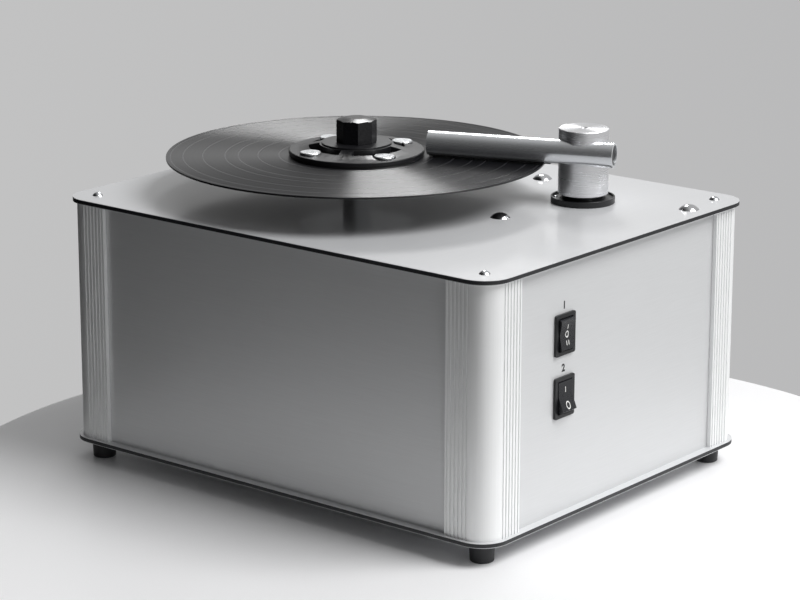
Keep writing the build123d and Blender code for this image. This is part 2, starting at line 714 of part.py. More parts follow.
def clamp_disc():
    bore = SHAFT_TIP_RADIUS + FIT
    shoulder = CLAMP_HUB_TOP - CLAMP_SHOULDER_DROP
    body = turned(
        (bore, CLAMP_BOTTOM), (CLAMP_RADIUS, CLAMP_BOTTOM),
        (CLAMP_RADIUS, CLAMP_RIM_TOP - CLAMP_RIM_ROUND), (CLAMP_RADIUS - CLAMP_RIM_ROUND, CLAMP_RIM_TOP),
        (CLAMP_CONE_RADIUS, CLAMP_RIM_TOP), (CLAMP_POCKET_INNER, shoulder), (CLAMP_HUB_RADIUS, shoulder),
        (CLAMP_HUB_RADIUS, CLAMP_HUB_TOP), (bore, CLAMP_HUB_TOP))
    floor = CLAMP_RIM_TOP - CLAMP_POCKET_DEPTH
    pockets = rod(CLAMP_POCKET_OUTER, floor, CLAMP_HUB_TOP) - rod(CLAMP_POCKET_INNER, floor, CLAMP_HUB_TOP)
    for degree in spread(CLAMP_ARMS, CLAMP_STUD_DEG + 180 / CLAMP_ARMS):
        half = CLAMP_SPOKE_WIDTH / 2
        pockets -= Rot(0, 0, degree) * block(0, CLAMP_RADIUS, -half, half, floor, CLAMP_HUB_TOP)
    seat_radius = STUD_RADIUS + STUD_SEAT_CLEARANCE
    for degree in spread(CLAMP_ARMS, CLAMP_STUD_DEG):
        x, y = on_circle(STUD_CIRCLE_RADIUS, degree)
        pockets -= rod(seat_radius, floor, CLAMP_RIM_TOP, x, y)
    body -= pockets
    for degree in spread(CLAMP_ARMS, CLAMP_STUD_DEG):
        x, y = on_circle(STUD_CIRCLE_RADIUS, degree)
        body -= rod(seat_radius, CLAMP_RIM_TOP, CLAMP_HUB_TOP, x, y)
        body -= rod(STUD_SHANK_RADIUS + FIT, CLAMP_BOTTOM, CLAMP_RIM_TOP, x, y)
    return Pos(SPINDLE_X, SPINDLE_Y) * body


def clamp_stud(x, y):
    high = CLAMP_RIM_TOP + STUD_HEIGHT
    head = turned(
        (0, CLAMP_RIM_TOP), (STUD_RADIUS, CLAMP_RIM_TOP), (STUD_RADIUS, high - STUD_CROWN),
        (STUD_RADIUS - STUD_CROWN, high), (0, high), x=x, y=y)
    return head + rod(STUD_SHANK_RADIUS, CLAMP_BOTTOM, CLAMP_RIM_TOP, x, y)


def clamp_seal():
    outer = CLAMP_RADIUS - CLAMP_RIM_ROUND
    low = RECORD_TOP + SEAT
    ring = rod(outer, low, CLAMP_BOTTOM, SPINDLE_X, SPINDLE_Y)
    return ring - rod(outer - SEAL_RING_WIDTH, low, CLAMP_BOTTOM, SPINDLE_X, SPINDLE_Y)


def clamp_knob():
    crown_low = KNOB_TOP - KNOB_CROWN
    prism = Pos(0, 0, KNOB_BOTTOM) * extrude(
        RegularPolygon(KNOB_RADIUS, KNOB_SIDES, rotation=KNOB_TURN_DEG), KNOB_HEIGHT + KNOB_CROWN)
    crown = turned(
        (0, KNOB_BOTTOM), (KNOB_RADIUS, KNOB_BOTTOM), (KNOB_RADIUS, crown_low),
        (KNOB_CROWN_RADIUS, KNOB_TOP - KNOB_CROWN_EDGE), (KNOB_BUTTON_RADIUS, KNOB_TOP), (0, KNOB_TOP))
    knob = prism & crown
    knob -= rod(SHAFT_TIP_RADIUS + FIT, KNOB_BOTTOM, SHAFT_TOP + AIR)
    return Pos(SPINDLE_X, SPINDLE_Y) * knob


# Suction arm. Its own frame has X along the tube towards the spindle and Z at the tube's axis.

def arm_place():
    angle = math.radians(ARM_BEARING_DEG)
    x = COLUMN_X - ARM_OFFSET * math.sin(angle)
    y = COLUMN_Y + ARM_OFFSET * math.cos(angle)
    return Pos(x, y, ARM_AXIS_Z) * Rot(0, 0, ARM_BEARING_DEG)


def spindle_in_arm():
    # The spindle's place in the arm's frame: along the tube, and sideways from its axis.
    turn = math.radians(SPINDLE_BEARING_DEG - ARM_BEARING_DEG)
    return SPINDLE_SPACING * math.cos(turn), SPINDLE_SPACING * math.sin(turn) - ARM_OFFSET


def arm_reach():
    # The tube stops a little short of the clamp's rim.
    along, sideways = spindle_in_arm()
    nearest = max(0.0, sideways - ARM_TUBE_RADIUS)
    return along - math.sqrt((CLAMP_RADIUS + ARM_CLAMP_GAP) ** 2 - nearest ** 2)


def record_edge_in_arm():
    along, sideways = spindle_in_arm()
    return along - math.sqrt(RECORD_RADIUS ** 2 - sideways ** 2)


def arm_tube():
    reach = arm_reach()
    bore = ARM_TUBE_RADIUS - ARM_TUBE_WALL
    tube = rod_x(ARM_TUBE_RADIUS, -ARM_TAIL, reach) - rod_x(bore, -ARM_TAIL, reach)
    tube -= block(0, reach, -ARM_TUBE_RADIUS, ARM_TUBE_RADIUS, -ARM_TUBE_RADIUS, -ARM_FLAT)
    slot_start = record_edge_in_arm() + ARM_SLOT_INSET
    slot_end = reach - ARM_PLUG_THICKNESS - ARM_SLOT_INSET
    half = ARM_SLOT_WIDTH / 2
    tube -= block(slot_start, slot_end, -half, half, -ARM_TUBE_RADIUS, 0)
    tube -= rod(HEAD_PASSAGE_RADIUS, -ARM_TUBE_RADIUS, 0, 0, -HEAD_PASSAGE_RADIUS)
    return arm_place() * tube


def arm_end_plugs():
    bore = ARM_TUBE_RADIUS - ARM_TUBE_WALL - FIT
    outer_start = -ARM_TAIL + ARM_PLUG_RECESS
    inner_end = arm_reach() - ARM_PLUG_RECESS
    outer = rod_x(bore, outer_start, outer_start + ARM_PLUG_THICKNESS)
    inner = rod_x(bore, inner_end - ARM_PLUG_THICKNESS, inner_end)
    return [arm_place() * outer, arm_place() * inner]


def velvet_strips():
    start = record_edge_in_arm() - STRIP_OVERHANG
    end = arm_reach() - ARM_PLUG_RECESS
    inner = ARM_SLOT_WIDTH / 2 + FIT
    low = -ARM_FLAT - STRIP_THICKNESS
    left = block(start, end, inner, inner + STRIP_WIDTH, low, -ARM_FLAT)
    right = block(start, end, -inner - STRIP_WIDTH, -inner, low, -ARM_FLAT)
    return [arm_place() * left, arm_place() * right]


def arm_head():
    low = HEAD_BOTTOM - ARM_AXIS_Z
    high = HEAD_TOP - ARM_AXIS_Z
    bore_top = LIFT_TUBE_TOP + AIR - ARM_AXIS_Z
    bore = LIFT_TUBE_RADIUS + FIT
    head = turned(
        (bore, low), (HEAD_RADIUS - HEAD_EDGE, low), (HEAD_RADIUS, low + HEAD_EDGE),
        (HEAD_RADIUS, high - HEAD_EDGE), (HEAD_RADIUS - HEAD_EDGE, high), (HEAD_DIMPLE_RADIUS, high),
        (0, high - HEAD_DIMPLE_RADIUS), (0, bore_top), (bore, bore_top))
    head = Pos(0, -ARM_OFFSET) * head
    tube_bore = ARM_TUBE_RADIUS + FIT
    seat = rod_x(tube_bore, -2 * HEAD_RADIUS, 2 * HEAD_RADIUS)
    seat -= block(0, 2 * HEAD_RADIUS, -tube_bore, tube_bore, -tube_bore, -ARM_FLAT - FIT)
    head -= seat
    head -= rod(HEAD_PASSAGE_RADIUS, bore_top, -ARM_TUBE_WALL, 0, -HEAD_PASSAGE_RADIUS)
    return arm_place() * head


def lift_tube():
    low = Z_TOP - GUIDE_LENGTH - ARM_LIFT - LIFT_TUBE_TAIL
    tube = rod(LIFT_TUBE_RADIUS, low, LIFT_TUBE_TOP, COLUMN_X, COLUMN_Y)
    return tube - rod(LIFT_TUBE_RADIUS - LIFT_TUBE_WALL, low, LIFT_TUBE_TOP, COLUMN_X, COLUMN_Y)


# Collar, seal and guide of the arm column

def collar():
    bore = LIFT_TUBE_RADIUS + FIT + COLLAR_SEAL_WIDTH
    lip_inner = COLLAR_RADIUS - COLLAR_LIP
    body = turned(
        (bore, Z_TOP), (COLLAR_RADIUS, Z_TOP), (COLLAR_RADIUS, COLLAR_TOP), (lip_inner, COLLAR_TOP),
        (lip_inner, COLLAR_FLOOR), (bore, COLLAR_FLOOR), x=COLUMN_X, y=COLUMN_Y)
    for x, y in collar_screw_places():
        body -= rod(COLLAR_SCREW_RADIUS + FIT, Z_TOP, COLLAR_FLOOR, x, y)
    return body


def collar_screw(x, y):
    low = Z_CEILING - GUIDE_FLANGE_THICKNESS
    head = dome(COLLAR_SCREW_HEAD_RADIUS, COLLAR_SCREW_HEAD_HEIGHT, COLLAR_FLOOR, x, y)
    return head + rod(COLLAR_SCREW_RADIUS, low, COLLAR_FLOOR, x, y)


def collar_seal():
    outer = LIFT_TUBE_RADIUS + COLLAR_SEAL_WIDTH
    ring = rod(outer, Z_TOP, COLLAR_FLOOR, COLUMN_X, COLUMN_Y)
    return ring - rod(LIFT_TUBE_RADIUS + FIT, Z_TOP, COLLAR_FLOOR, COLUMN_X, COLUMN_Y)


def guide_bush():
    bore = LIFT_TUBE_RADIUS + FIT
    outer = LIFT_TUBE_RADIUS + GUIDE_WALL
    flange = outer + GUIDE_FLANGE_WIDTH
    flange_low = Z_CEILING - GUIDE_FLANGE_THICKNESS
    low = Z_TOP - GUIDE_LENGTH
    body = turned(
        (bore, low), (outer, low), (outer, flange_low), (flange, flange_low), (flange, Z_CEILING),
        (outer, Z_CEILING), (outer, Z_TOP), (bore, Z_TOP), x=COLUMN_X, y=COLUMN_Y)
    for x, y in collar_screw_places():
        body -= rod(COLLAR_SCREW_RADIUS + FIT, flange_low, Z_CEILING, x, y)
    return body


# Separator tank

def tank_flange_outline():
    outline = Circle(TANK_RADIUS)
    for degree in TANK_BOLT_DEGS:
        x, y = on_circle(TANK_BOLT_CIRCLE, degree)
        outline += Pos(x, y) * Circle(TANK_LUG_RADIUS)
        web = rectangle(0, -TANK_LUG_RADIUS, TANK_BOLT_CIRCLE, 2 * TANK_LUG_RADIUS)
        outline += Rot(0, 0, degree) * web
    for degree in TANK_BOLT_DEGS:
        x, y = on_circle(TANK_BOLT_CIRCLE, degree)
        outline -= Pos(x, y) * Circle(TANK_BOLT_RADIUS + SHEET_HOLE_CLEARANCE)
    return outline


def tank_port_level():
    return TANK_RIM_TOP - TANK_PORT_DROP


def separator_tank():
    inner = TANK_RADIUS - TANK_WALL
    flange_low = TANK_RIM_TOP - TANK_FLANGE_THICKNESS
    cup = rod(TANK_RADIUS, TANK_BOTTOM, TANK_RIM_TOP)
    cup += Pos(0, 0, flange_low) * extrude(tank_flange_outline(), TANK_FLANGE_THICKNESS)
    pad_end = TANK_RADIUS + TANK_PORT_PAD
    cup += rod_y(HOSE_RADIUS, TANK_RADIUS - TANK_PORT_PAD - TANK_WALL, pad_end, 0, tank_port_level())
    cup += rod_y(HOSE_RADIUS - HOSE_WALL - FIT, pad_end, pad_end + SPIGOT_LENGTH, 0, tank_port_level())
    cup += rod_x(DRAIN_FLANGE_RADIUS, inner - TANK_WALL, pad_end, 0, drain_level())
    cup -= rod(inner, TANK_BOTTOM + TANK_WALL, TANK_RIM_TOP)
    cup -= rod_y(spigot_bore(), 0, pad_end + SPIGOT_LENGTH, 0, tank_port_level())
    cup -= rod_x(DRAIN_RADIUS - DRAIN_WALL, 0, pad_end, 0, drain_level())
    return Pos(COLUMN_X, COLUMN_Y) * cup


def spigot_bore():
    return HOSE_RADIUS - HOSE_WALL - FIT - SPIGOT_WALL


def tank_gasket():
    ring = tank_flange_outline() - Circle(TANK_RADIUS - TANK_SEAL_WIDTH)
    return Pos(COLUMN_X, COLUMN_Y, TANK_RIM_TOP) * extrude(ring, TANK_GASKET_THICKNESS)


def tank_bolts():
    pieces = []
    nut_high = TANK_RIM_TOP - TANK_FLANGE_THICKNESS
    nut_low = nut_high - TANK_NUT_HEIGHT
    for x, y in tank_bolt_places():
        shank = rod(TANK_BOLT_RADIUS, nut_low - TANK_BOLT_TAIL, Z_TOP, x, y)
        pieces.append(shank + dome(TANK_BOLT_HEAD_RADIUS, TANK_BOLT_HEAD_HEIGHT, Z_TOP, x, y))
        hexagon = RegularPolygon(TANK_NUT_FLATS / 2, 6, major_radius=False, rotation=30)
        hexagon -= Circle(TANK_BOLT_RADIUS + FIT)
        pieces.append(Pos(x, y, nut_low) * extrude(hexagon, TANK_NUT_HEIGHT))
    return pieces


# Drain

def drain_spigot():
    z = drain_level()
    low = COLUMN_X + TANK_RADIUS + TANK_PORT_PAD
    flange_high = PANEL_X - PANEL_THICKNESS
    flange_low = flange_high - DRAIN_FLANGE_THICKNESS
    high = PANEL_X + DRAIN_PROUD
    pipe = rod_x(DRAIN_RADIUS, low, high, COLUMN_Y, z)
    pipe += rod_x(DRAIN_FLANGE_RADIUS, flange_low, flange_high, COLUMN_Y, z)
    return pipe - rod_x(DRAIN_RADIUS - DRAIN_WALL, low, high, COLUMN_Y, z)


def drain_cap():
    z = drain_level()
    low = PANEL_X + AIR
    high = low + DRAIN_CAP_THICKNESS
    cap = rod_x(DRAIN_CAP_RADIUS, low, high)
    cap -= rod_x(DRAIN_RADIUS + FIT, low, PANEL_X + DRAIN_PROUD + AIR)
    for degree in spread(DRAIN_CAP_FLUTES, 0):
        y, flute_z = on_circle(DRAIN_CAP_RADIUS, degree)
        cap -= rod_x(DRAIN_CAP_FLUTE_RADIUS, low, high, y, flute_z)
    return Pos(0, COLUMN_Y, z) * cap


# Vacuum fan, its motor and the air hose

def fan_port_level():
    return Z_FLOOR + FAN_WALL + FAN_PLENUM_HEIGHT / 2


def fan_port_face():
    return FAN_Y - FAN_RADIUS


def fan_housing():
    inner = FAN_RADIUS - FAN_WALL
    plenum_low = Z_FLOOR + FAN_WALL
    plenum_high = plenum_low + FAN_PLENUM_HEIGHT
    chamber_low = plenum_high + FAN_WALL
    chamber_high = chamber_low + FAN_CHAMBER_HEIGHT
    case = rod(FAN_RADIUS, Z_FLOOR, FAN_TOP, FAN_X, FAN_Y)
    hose_x = COLUMN_X
    face = fan_port_face()
    case += rod_y(HOSE_RADIUS, face, FAN_Y - inner + HOSE_RADIUS, hose_x, fan_port_level())
    spigot = HOSE_RADIUS - HOSE_WALL - FIT
    case += rod_y(spigot, face - SPIGOT_LENGTH, face, hose_x, fan_port_level())
    case -= rod(inner, plenum_low, plenum_high, FAN_X, FAN_Y)
    case -= rod(inner, chamber_low, chamber_high, FAN_X, FAN_Y)
    case -= rod(FAN_EYE_RADIUS, plenum_high, chamber_low, FAN_X, FAN_Y)
    case -= rod(IMPELLER_SHAFT_RADIUS + FIT, chamber_high, FAN_TOP, FAN_X, FAN_Y)
    case -= rod_y(spigot_bore(), face - SPIGOT_LENGTH, FAN_Y, hose_x, fan_port_level())
    half = FAN_OUTLET_WIDTH / 2
    outlet_low = exhaust_place()[1] - FAN_OUTLET_HEIGHT / 2
    return case - block(
        FAN_X - half, FAN_X + half, FAN_Y, FAN_Y + FAN_RADIUS + FAN_WALL,
        outlet_low, outlet_low + FAN_OUTLET_HEIGHT)


def impeller_vane():
    # One vane in plan: an arc from the eye to the rim that leans back as it goes out.
    inner_end = (IMPELLER_VANE_INNER, 0)
    outer_end = on_circle(IMPELLER_RADIUS - IMPELLER_VANE_THICKNESS, IMPELLER_VANE_SWEEP_DEG)
    spine = SagittaArc(inner_end, outer_end, IMPELLER_VANE_SAG)
    vane = trace(spine, IMPELLER_VANE_THICKNESS)
    return extrude(vane, IMPELLER_VANE_HEIGHT)


def impeller():
    chamber_low = Z_FLOOR + 2 * FAN_WALL + FAN_PLENUM_HEIGHT
    middle = chamber_low + FAN_CHAMBER_HEIGHT / 2
    low = middle - (IMPELLER_DISC + IMPELLER_VANE_HEIGHT) / 2
    disc_low = low + IMPELLER_VANE_HEIGHT
    disc_high = disc_low + IMPELLER_DISC
    wheel = rod(IMPELLER_RADIUS, disc_low, disc_high)
    wheel += rod(IMPELLER_HUB_RADIUS, low, disc_low)
    wheel += rod(IMPELLER_SHAFT_RADIUS, disc_high, FAN_TOP + IMPELLER_SHAFT_LENGTH)
    for degree in spread(IMPELLER_VANES, 0):
        wheel += Rot(0, 0, degree) * Pos(0, 0, low) * impeller_vane()
    return Pos(FAN_X, FAN_Y) * wheel


def vacuum_motor():
    high = FAN_TOP + VACUUM_MOTOR_HEIGHT
    shoulder = high - VACUUM_MOTOR_CAP
    neck = VACUUM_MOTOR_RADIUS - VACUUM_MOTOR_CAP
    bore = IMPELLER_SHAFT_RADIUS + FIT
    bore_top = FAN_TOP + IMPELLER_SHAFT_LENGTH + AIR
    return turned(
        (bore, FAN_TOP), (VACUUM_MOTOR_RADIUS, FAN_TOP), (VACUUM_MOTOR_RADIUS, shoulder), (neck, shoulder),
        (neck, high), (0, high), (0, bore_top), (bore, bore_top), x=FAN_X, y=FAN_Y)


def air_hose():
    x = COLUMN_X
    start_y = COLUMN_Y + TANK_RADIUS + TANK_PORT_PAD + SEAT
    end_y = fan_port_face() - SEAT
    middle_y = (start_y + end_y) / 2
    high = tank_port_level()
    low = fan_port_level()
    route = FilletPolyline(
        (x, start_y, high), (x, middle_y, high), (x, middle_y, low), (x, end_y, low), radius=HOSE_BEND)
    section = Circle(HOSE_RADIUS) - Circle(HOSE_RADIUS - HOSE_WALL)
    return sweep(Plane(origin=(x, start_y, high), z_dir=(0, 1, 0)) * section, path=route)


# Switches

def rocker_plane(x, z):
    # Local X points out of the front panel and local Y points up, from the rocker's pivot.
    pivot_y = -PANEL_Y - BEZEL_THICKNESS + ROCKER_PIVOT_DEPTH
    return Plane(origin=(x, pivot_y, z), x_dir=(0, -1, 0), z_dir=(-1, 0, 0))


def rocker_half_width():
    return BEZEL_WIDTH / 2 - BEZEL_EDGE - ROCKER_CLEARANCE


def rocker(x, z, turn_deg):
    def rim_point(degrees, side):
        angle = math.radians(degrees)
        return ROCKER_ARC_RADIUS * math.sin(angle), side * ROCKER_ARC_RADIUS * math.cos(angle)

    middle_deg = (ROCKER_TIP_DEG - ROCKER_BACK_DEG) / 2
    edges = []
    for side in (1, -1):
        tip = rim_point(ROCKER_TIP_DEG, side)
        back = rim_point(-ROCKER_BACK_DEG, side)
        edges.append(Line((ROCKER_VALLEY, 0), tip))
        edges.append(ThreePointArc(tip, rim_point(middle_deg, side), back))
    edges.append(Line(rim_point(-ROCKER_BACK_DEG, 1), rim_point(-ROCKER_BACK_DEG, -1)))
    profile = Rot(0, 0, turn_deg) * make_face(edges)
    half = rocker_half_width()
    paddle = extrude(rocker_plane(x, z) * profile, half, both=True)
    pivot_y = -PANEL_Y - BEZEL_THICKNESS + ROCKER_PIVOT_DEPTH
    pin_reach = half + BEZEL_EDGE - SWITCH_NECK
    return paddle + rod_x(ROCKER_PIN_RADIUS, x - pin_reach, x + pin_reach, pivot_y, z)


def switch_body(x, z):
    front = -PANEL_Y - BEZEL_THICKNESS
    bezel = Plane(origin=(x, -PANEL_Y, z), x_dir=(1, 0, 0), z_dir=(0, -1, 0)) * RectangleRounded(
        BEZEL_WIDTH, BEZEL_HEIGHT, BEZEL_CORNER)
    body = extrude(bezel, BEZEL_THICKNESS)
    width, height = switch_neck()
    back = -PANEL_Y + SWITCH_DEPTH
    body += block(x - width / 2, x + width / 2, -PANEL_Y, back, z - height / 2, z + height / 2)
    pivot_y = front + ROCKER_PIVOT_DEPTH
    half_x = rocker_half_width() + ROCKER_CLEARANCE
    half_z = ROCKER_ARC_RADIUS + ROCKER_CLEARANCE
    deepest = ROCKER_ARC_RADIUS * math.sin(math.radians(ROCKER_BACK_DEG + ROCKER_THROW_DEG))
    cavity_back = pivot_y + deepest + ROCKER_CLEARANCE
    body -= block(x - half_x, x + half_x, front, cavity_back, z - half_z, z + half_z)
    return body - rod_x(ROCKER_PIN_RADIUS + FIT, x - width / 2, x + width / 2, pivot_y, z)


def switch_terminals():
    pieces = []
    back = -PANEL_Y + SWITCH_DEPTH
    for x, z in switch_places().values():
        for row in (-1, 0, 1):
            for side in (-1, 1):
                blade_x = x + side * TERMINAL_COLUMN_PITCH / 2
                blade_z = z + row * TERMINAL_PITCH
                pieces.append(block(
                    blade_x - TERMINAL_WIDTH / 2, blade_x + TERMINAL_WIDTH / 2, back, back + TERMINAL_LENGTH,
                    blade_z - TERMINAL_THICKNESS / 2, blade_z + TERMINAL_THICKNESS / 2))
    return pieces


# Mains inlet

def inlet_place():
    return -HALF_WIDTH + INLET_FROM_LEFT, Z_FLOOR + INLET_HEIGHT


def inlet_body_half_height():
    return INLET_FLANGE_HEIGHT / 2 - 2 * INLET_SCREW_RADIUS


def inlet_socket_z():
    return inlet_place()[1] - INLET_SOCKET_DROP


def mains_inlet():
    x, z = inlet_place()
    front = PANEL_Y + INLET_FLANGE_THICKNESS
    outward = Plane(origin=(x, PANEL_Y, z), x_dir=(-1, 0, 0), z_dir=(0, 1, 0))
    plate_shape = RectangleRounded(INLET_FLANGE_WIDTH, INLET_FLANGE_HEIGHT, INLET_CORNER)
    flange = extrude(outward * plate_shape, INLET_FLANGE_THICKNESS)
    half_x = INLET_BODY_WIDTH / 2
    half_z = inlet_body_half_height()
    body = flange + block(x - half_x, x + half_x, PANEL_Y - INLET_BODY_DEPTH, PANEL_Y, z - half_z, z + half_z)
    socket_z = inlet_socket_z()
    mouth = rectangle(
        -INLET_SOCKET_WIDTH / 2, -INLET_SOCKET_HEIGHT / 2, INLET_SOCKET_WIDTH, INLET_SOCKET_HEIGHT)
    mouth = chamfer(mouth.vertices().group_by(Axis.Y)[-1], INLET_SOCKET_CHAMFER)
    inward = Plane(origin=(x, front, socket_z), x_dir=(1, 0, 0), z_dir=(0, -1, 0))
    body -= extrude(inward * mouth, INLET_SOCKET_DEPTH)
    floor = front - INLET_SOCKET_DEPTH
    for offset, rise in ((-INLET_PIN_PITCH, 0), (0, INLET_EARTH_RISE), (INLET_PIN_PITCH, 0)):
        pin_x = x + offset
        pin_z = socket_z + rise
        body += block(
            pin_x - INLET_PIN_WIDTH / 2, pin_x + INLET_PIN_WIDTH / 2, floor, floor + INLET_PIN_LENGTH,
            pin_z - INLET_PIN_HEIGHT / 2, pin_z + INLET_PIN_HEIGHT / 2)
    bay_half_x = FUSE_WIDTH / 2 + FUSE_CLEARANCE
    bay_half_z = FUSE_HEIGHT / 2 + FUSE_CLEARANCE
    bay_z = z + FUSE_RISE
    body -= block(
        x - bay_half_x, x + bay_half_x, front - FUSE_DEPTH - FUSE_CLEARANCE, front,
        bay_z - bay_half_z, bay_z + bay_half_z)
    for side in (-1, 1):
        screw_x = x + side * INLET_SCREW_PITCH / 2
        body -= rod_y(INLET_SCREW_RADIUS + FIT, PANEL_Y, front, screw_x, z)
    return body


def fuse_drawer():
    x, z = inlet_place()
    front = PANEL_Y + INLET_FLANGE_THICKNESS
    bay_z = z + FUSE_RISE
    half_x = FUSE_WIDTH / 2
    half_z = FUSE_HEIGHT / 2
    tray = block(x - half_x, x + half_x, front - FUSE_DEPTH, front, bay_z - half_z, bay_z + half_z)
    grip_x = half_x / 2
    grip_z = half_z / 2
    return tray + block(x - grip_x, x + grip_x, front, front + FUSE_PULL, bay_z - grip_z, bay_z + grip_z)


def inlet_screws():
    x, z = inlet_place()
    front = PANEL_Y + INLET_FLANGE_THICKNESS
    back = PANEL_Y - 3 * PANEL_THICKNESS
    pieces = []
    for side in (-1, 1):
        screw_x = x + side * INLET_SCREW_PITCH / 2
        head = rod_y(INLET_SCREW_HEAD_RADIUS, front, front + INLET_SCREW_HEAD_HEIGHT, screw_x, z)
        pieces.append(head + rod_y(INLET_SCREW_RADIUS, back, front, screw_x, z))
    return pieces


def run_capacitor():
    x = -HALF_WIDTH + CAPACITOR_FROM_LEFT
    y = HALF_LENGTH - CAPACITOR_FROM_REAR
    can = rod(CAPACITOR_RADIUS, Z_FLOOR, Z_FLOOR + CAPACITOR_HEIGHT, x, y)
    top = can.faces().sort_by(Axis.Z)[-1]
    return chamfer(top.edges(), CAPACITOR_EDGE)


def all_parts():
    top_core, top_skins = plate(Z_CEILING, top_holes())
    bottom_core, bottom_skins = plate(Z_BASE, corner_holes())
    parts = {
        "top_plate_core": top_core,
        "top_plate_skins": top_skins,
        "bottom_plate_core": bottom_core,
        "bottom_plate_skins": bottom_skins,
        "front_panel": front_panel(),
        "rear_panel": rear_panel(),
        "left_panel": left_panel(),
        "right_panel": right_panel(),
        "top_corner_screws": [top_corner_screw(x, y) for x, y in corner_places().values()],
        "bottom_corner_screws": [bottom_corner_screw(x, y) for x, y in corner_places().values()],
        "tank_bolts": tank_bolts(),
        "spindle_column": spindle_column(),
        "support_disc": support_disc(),
        "support_mat": support_mat(),
        "spindle_shaft": spindle_shaft(),
        "record": record(),
        "bearing_housing": bearing_housing(),
        "bearing_bushes": bearing_bushes(),
        "bracket_standoffs": bracket_standoffs(),
        "motor_bracket": motor_bracket(),
        "gearbox": gearbox(),
        "drive_motor": drive_motor(),
        "run_capacitor": run_capacitor(),
        "clamp_disc": clamp_disc(),
        "clamp_studs": [clamp_stud(x, y) for x, y in clamp_stud_places()],
        "clamp_seal": clamp_seal(),
        "clamp_knob": clamp_knob(),
        "arm_head": arm_head(),
        "arm_tube": arm_tube(),
        "arm_end_plugs": arm_end_plugs(),
        "velvet_strips": velvet_strips(),
        "lift_tube": lift_tube(),
        "collar": collar(),
        "collar_screws": [collar_screw(x, y) for x, y in collar_screw_places()],
        "collar_seal": collar_seal(),
        "guide_bush": guide_bush(),
        "separator_tank": separator_tank(),
        "tank_gasket": tank_gasket(),
        "drain_spigot": drain_spigot(),
        "drain_cap": drain_cap(),
        "fan_housing": fan_housing(),
        "impeller": impeller(),
        "vacuum_motor": vacuum_motor(),
        "air_hose": air_hose(),
        "switch_terminals": switch_terminals(),
        "mains_inlet": mains_inlet(),
        "fuse_drawer": fuse_drawer(),
        "inlet_screws": inlet_screws(),
    }
    for corner, (x, y) in corner_places().items():
        parts[corner + "_foot"] = foot(x, y)
    for corner, post in corner_posts().items():
        parts[corner + "_post"] = post
    rest_turns = {"motor": 0.0, "vacuum": ROCKER_THROW_DEG}
    for name, (x, z) in switch_places().items():
        parts[name + "_switch_body"] = switch_body(x, z)
        parts[name + "_rocker"] = rocker(x, z, rest_turns[name])
    return parts


def save(name, shape):
    whole = Compound(children=shape) if isinstance(shape, list) else shape
    export_step(whole, "parts/" + name + ".step")


os.makedirs("parts", exist_ok=True)
for part_name, part_shape in all_parts().items():
    save(part_name, part_shape)
print("spindle at", round(SPINDLE_X, 1), round(SPINDLE_Y, 1), "overall height", round(KNOB_TOP, 1))
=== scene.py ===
import json
import math

import bpy
from mathutils import Euler, Matrix, Vector

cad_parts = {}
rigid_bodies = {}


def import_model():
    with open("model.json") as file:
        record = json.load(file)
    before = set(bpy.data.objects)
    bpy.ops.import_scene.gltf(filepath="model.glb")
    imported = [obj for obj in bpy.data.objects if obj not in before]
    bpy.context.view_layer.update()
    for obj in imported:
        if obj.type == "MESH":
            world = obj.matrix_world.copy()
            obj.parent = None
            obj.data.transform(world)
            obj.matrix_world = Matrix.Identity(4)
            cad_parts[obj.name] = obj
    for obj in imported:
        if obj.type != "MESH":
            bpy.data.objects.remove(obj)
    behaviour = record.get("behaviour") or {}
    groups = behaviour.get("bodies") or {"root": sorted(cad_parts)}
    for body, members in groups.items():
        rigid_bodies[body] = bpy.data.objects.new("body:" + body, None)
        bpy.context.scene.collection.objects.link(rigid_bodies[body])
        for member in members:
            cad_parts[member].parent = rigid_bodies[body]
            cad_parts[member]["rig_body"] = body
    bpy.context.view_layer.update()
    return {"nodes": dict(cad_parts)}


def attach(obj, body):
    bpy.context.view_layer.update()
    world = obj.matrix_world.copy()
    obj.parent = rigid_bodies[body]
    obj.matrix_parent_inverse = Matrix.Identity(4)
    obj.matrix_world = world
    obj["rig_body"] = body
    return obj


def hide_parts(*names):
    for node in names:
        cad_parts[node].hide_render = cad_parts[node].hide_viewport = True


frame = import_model()
nodes = frame["nodes"]
stage = bpy.context.scene
print("stage 1: frame loaded with", len(nodes), "nodes")

# Places that several pieces share, in metres
spindle = (-0.013315, 0.039111)
column = (0.0775, -0.1163)
frontFace = -0.2062
patternHeights = {"collar": 0.2, "mat": 0.246, "record": 0.247, "head": 0.25}  # middles of the turned patterns


# Camera, at the photograph's angle

cameraSetup = {
    "place": (-1.71703, -1.38589, 0.73474),
    "yaw": -0.8981131,
    "pitch": 0.2668634,
    "roll": 0.0035489,
    "lens": 129.10,
    "shiftX": -0.0289,
    "shiftY": 0.0007,
}


def makeCamera():
    data = bpy.data.cameras.new("camera")
    data.lens = cameraSetup["lens"]
    data.sensor_width = 36.0
    data.shift_x = cameraSetup["shiftX"]
    data.shift_y = cameraSetup["shiftY"]
    data.clip_end = 30.0
    camera = bpy.data.objects.new("camera", data)
    stage.collection.objects.link(camera)
    aim = Euler((math.pi / 2 - cameraSetup["pitch"], 0.0, cameraSetup["yaw"])).to_matrix()
    aim = aim @ Matrix.Rotation(cameraSetup["roll"], 3, "Z")
    camera.matrix_world = Matrix.Translation(cameraSetup["place"]) @ aim.to_4x4()
    stage.camera = camera


makeCamera()
stage.view_settings.view_transform = "Standard"
print("stage 2: camera placed")


# Materials

def tone(hexText):
    # sRGB hex to linear colour
    channels = [int(hexText[i:i + 2], 16) / 255 for i in (1, 3, 5)]
    return tuple(c / 12.92 if c <= 0.04045 else ((c + 0.055) / 1.055) ** 2.4 for c in channels) + (1.0,)


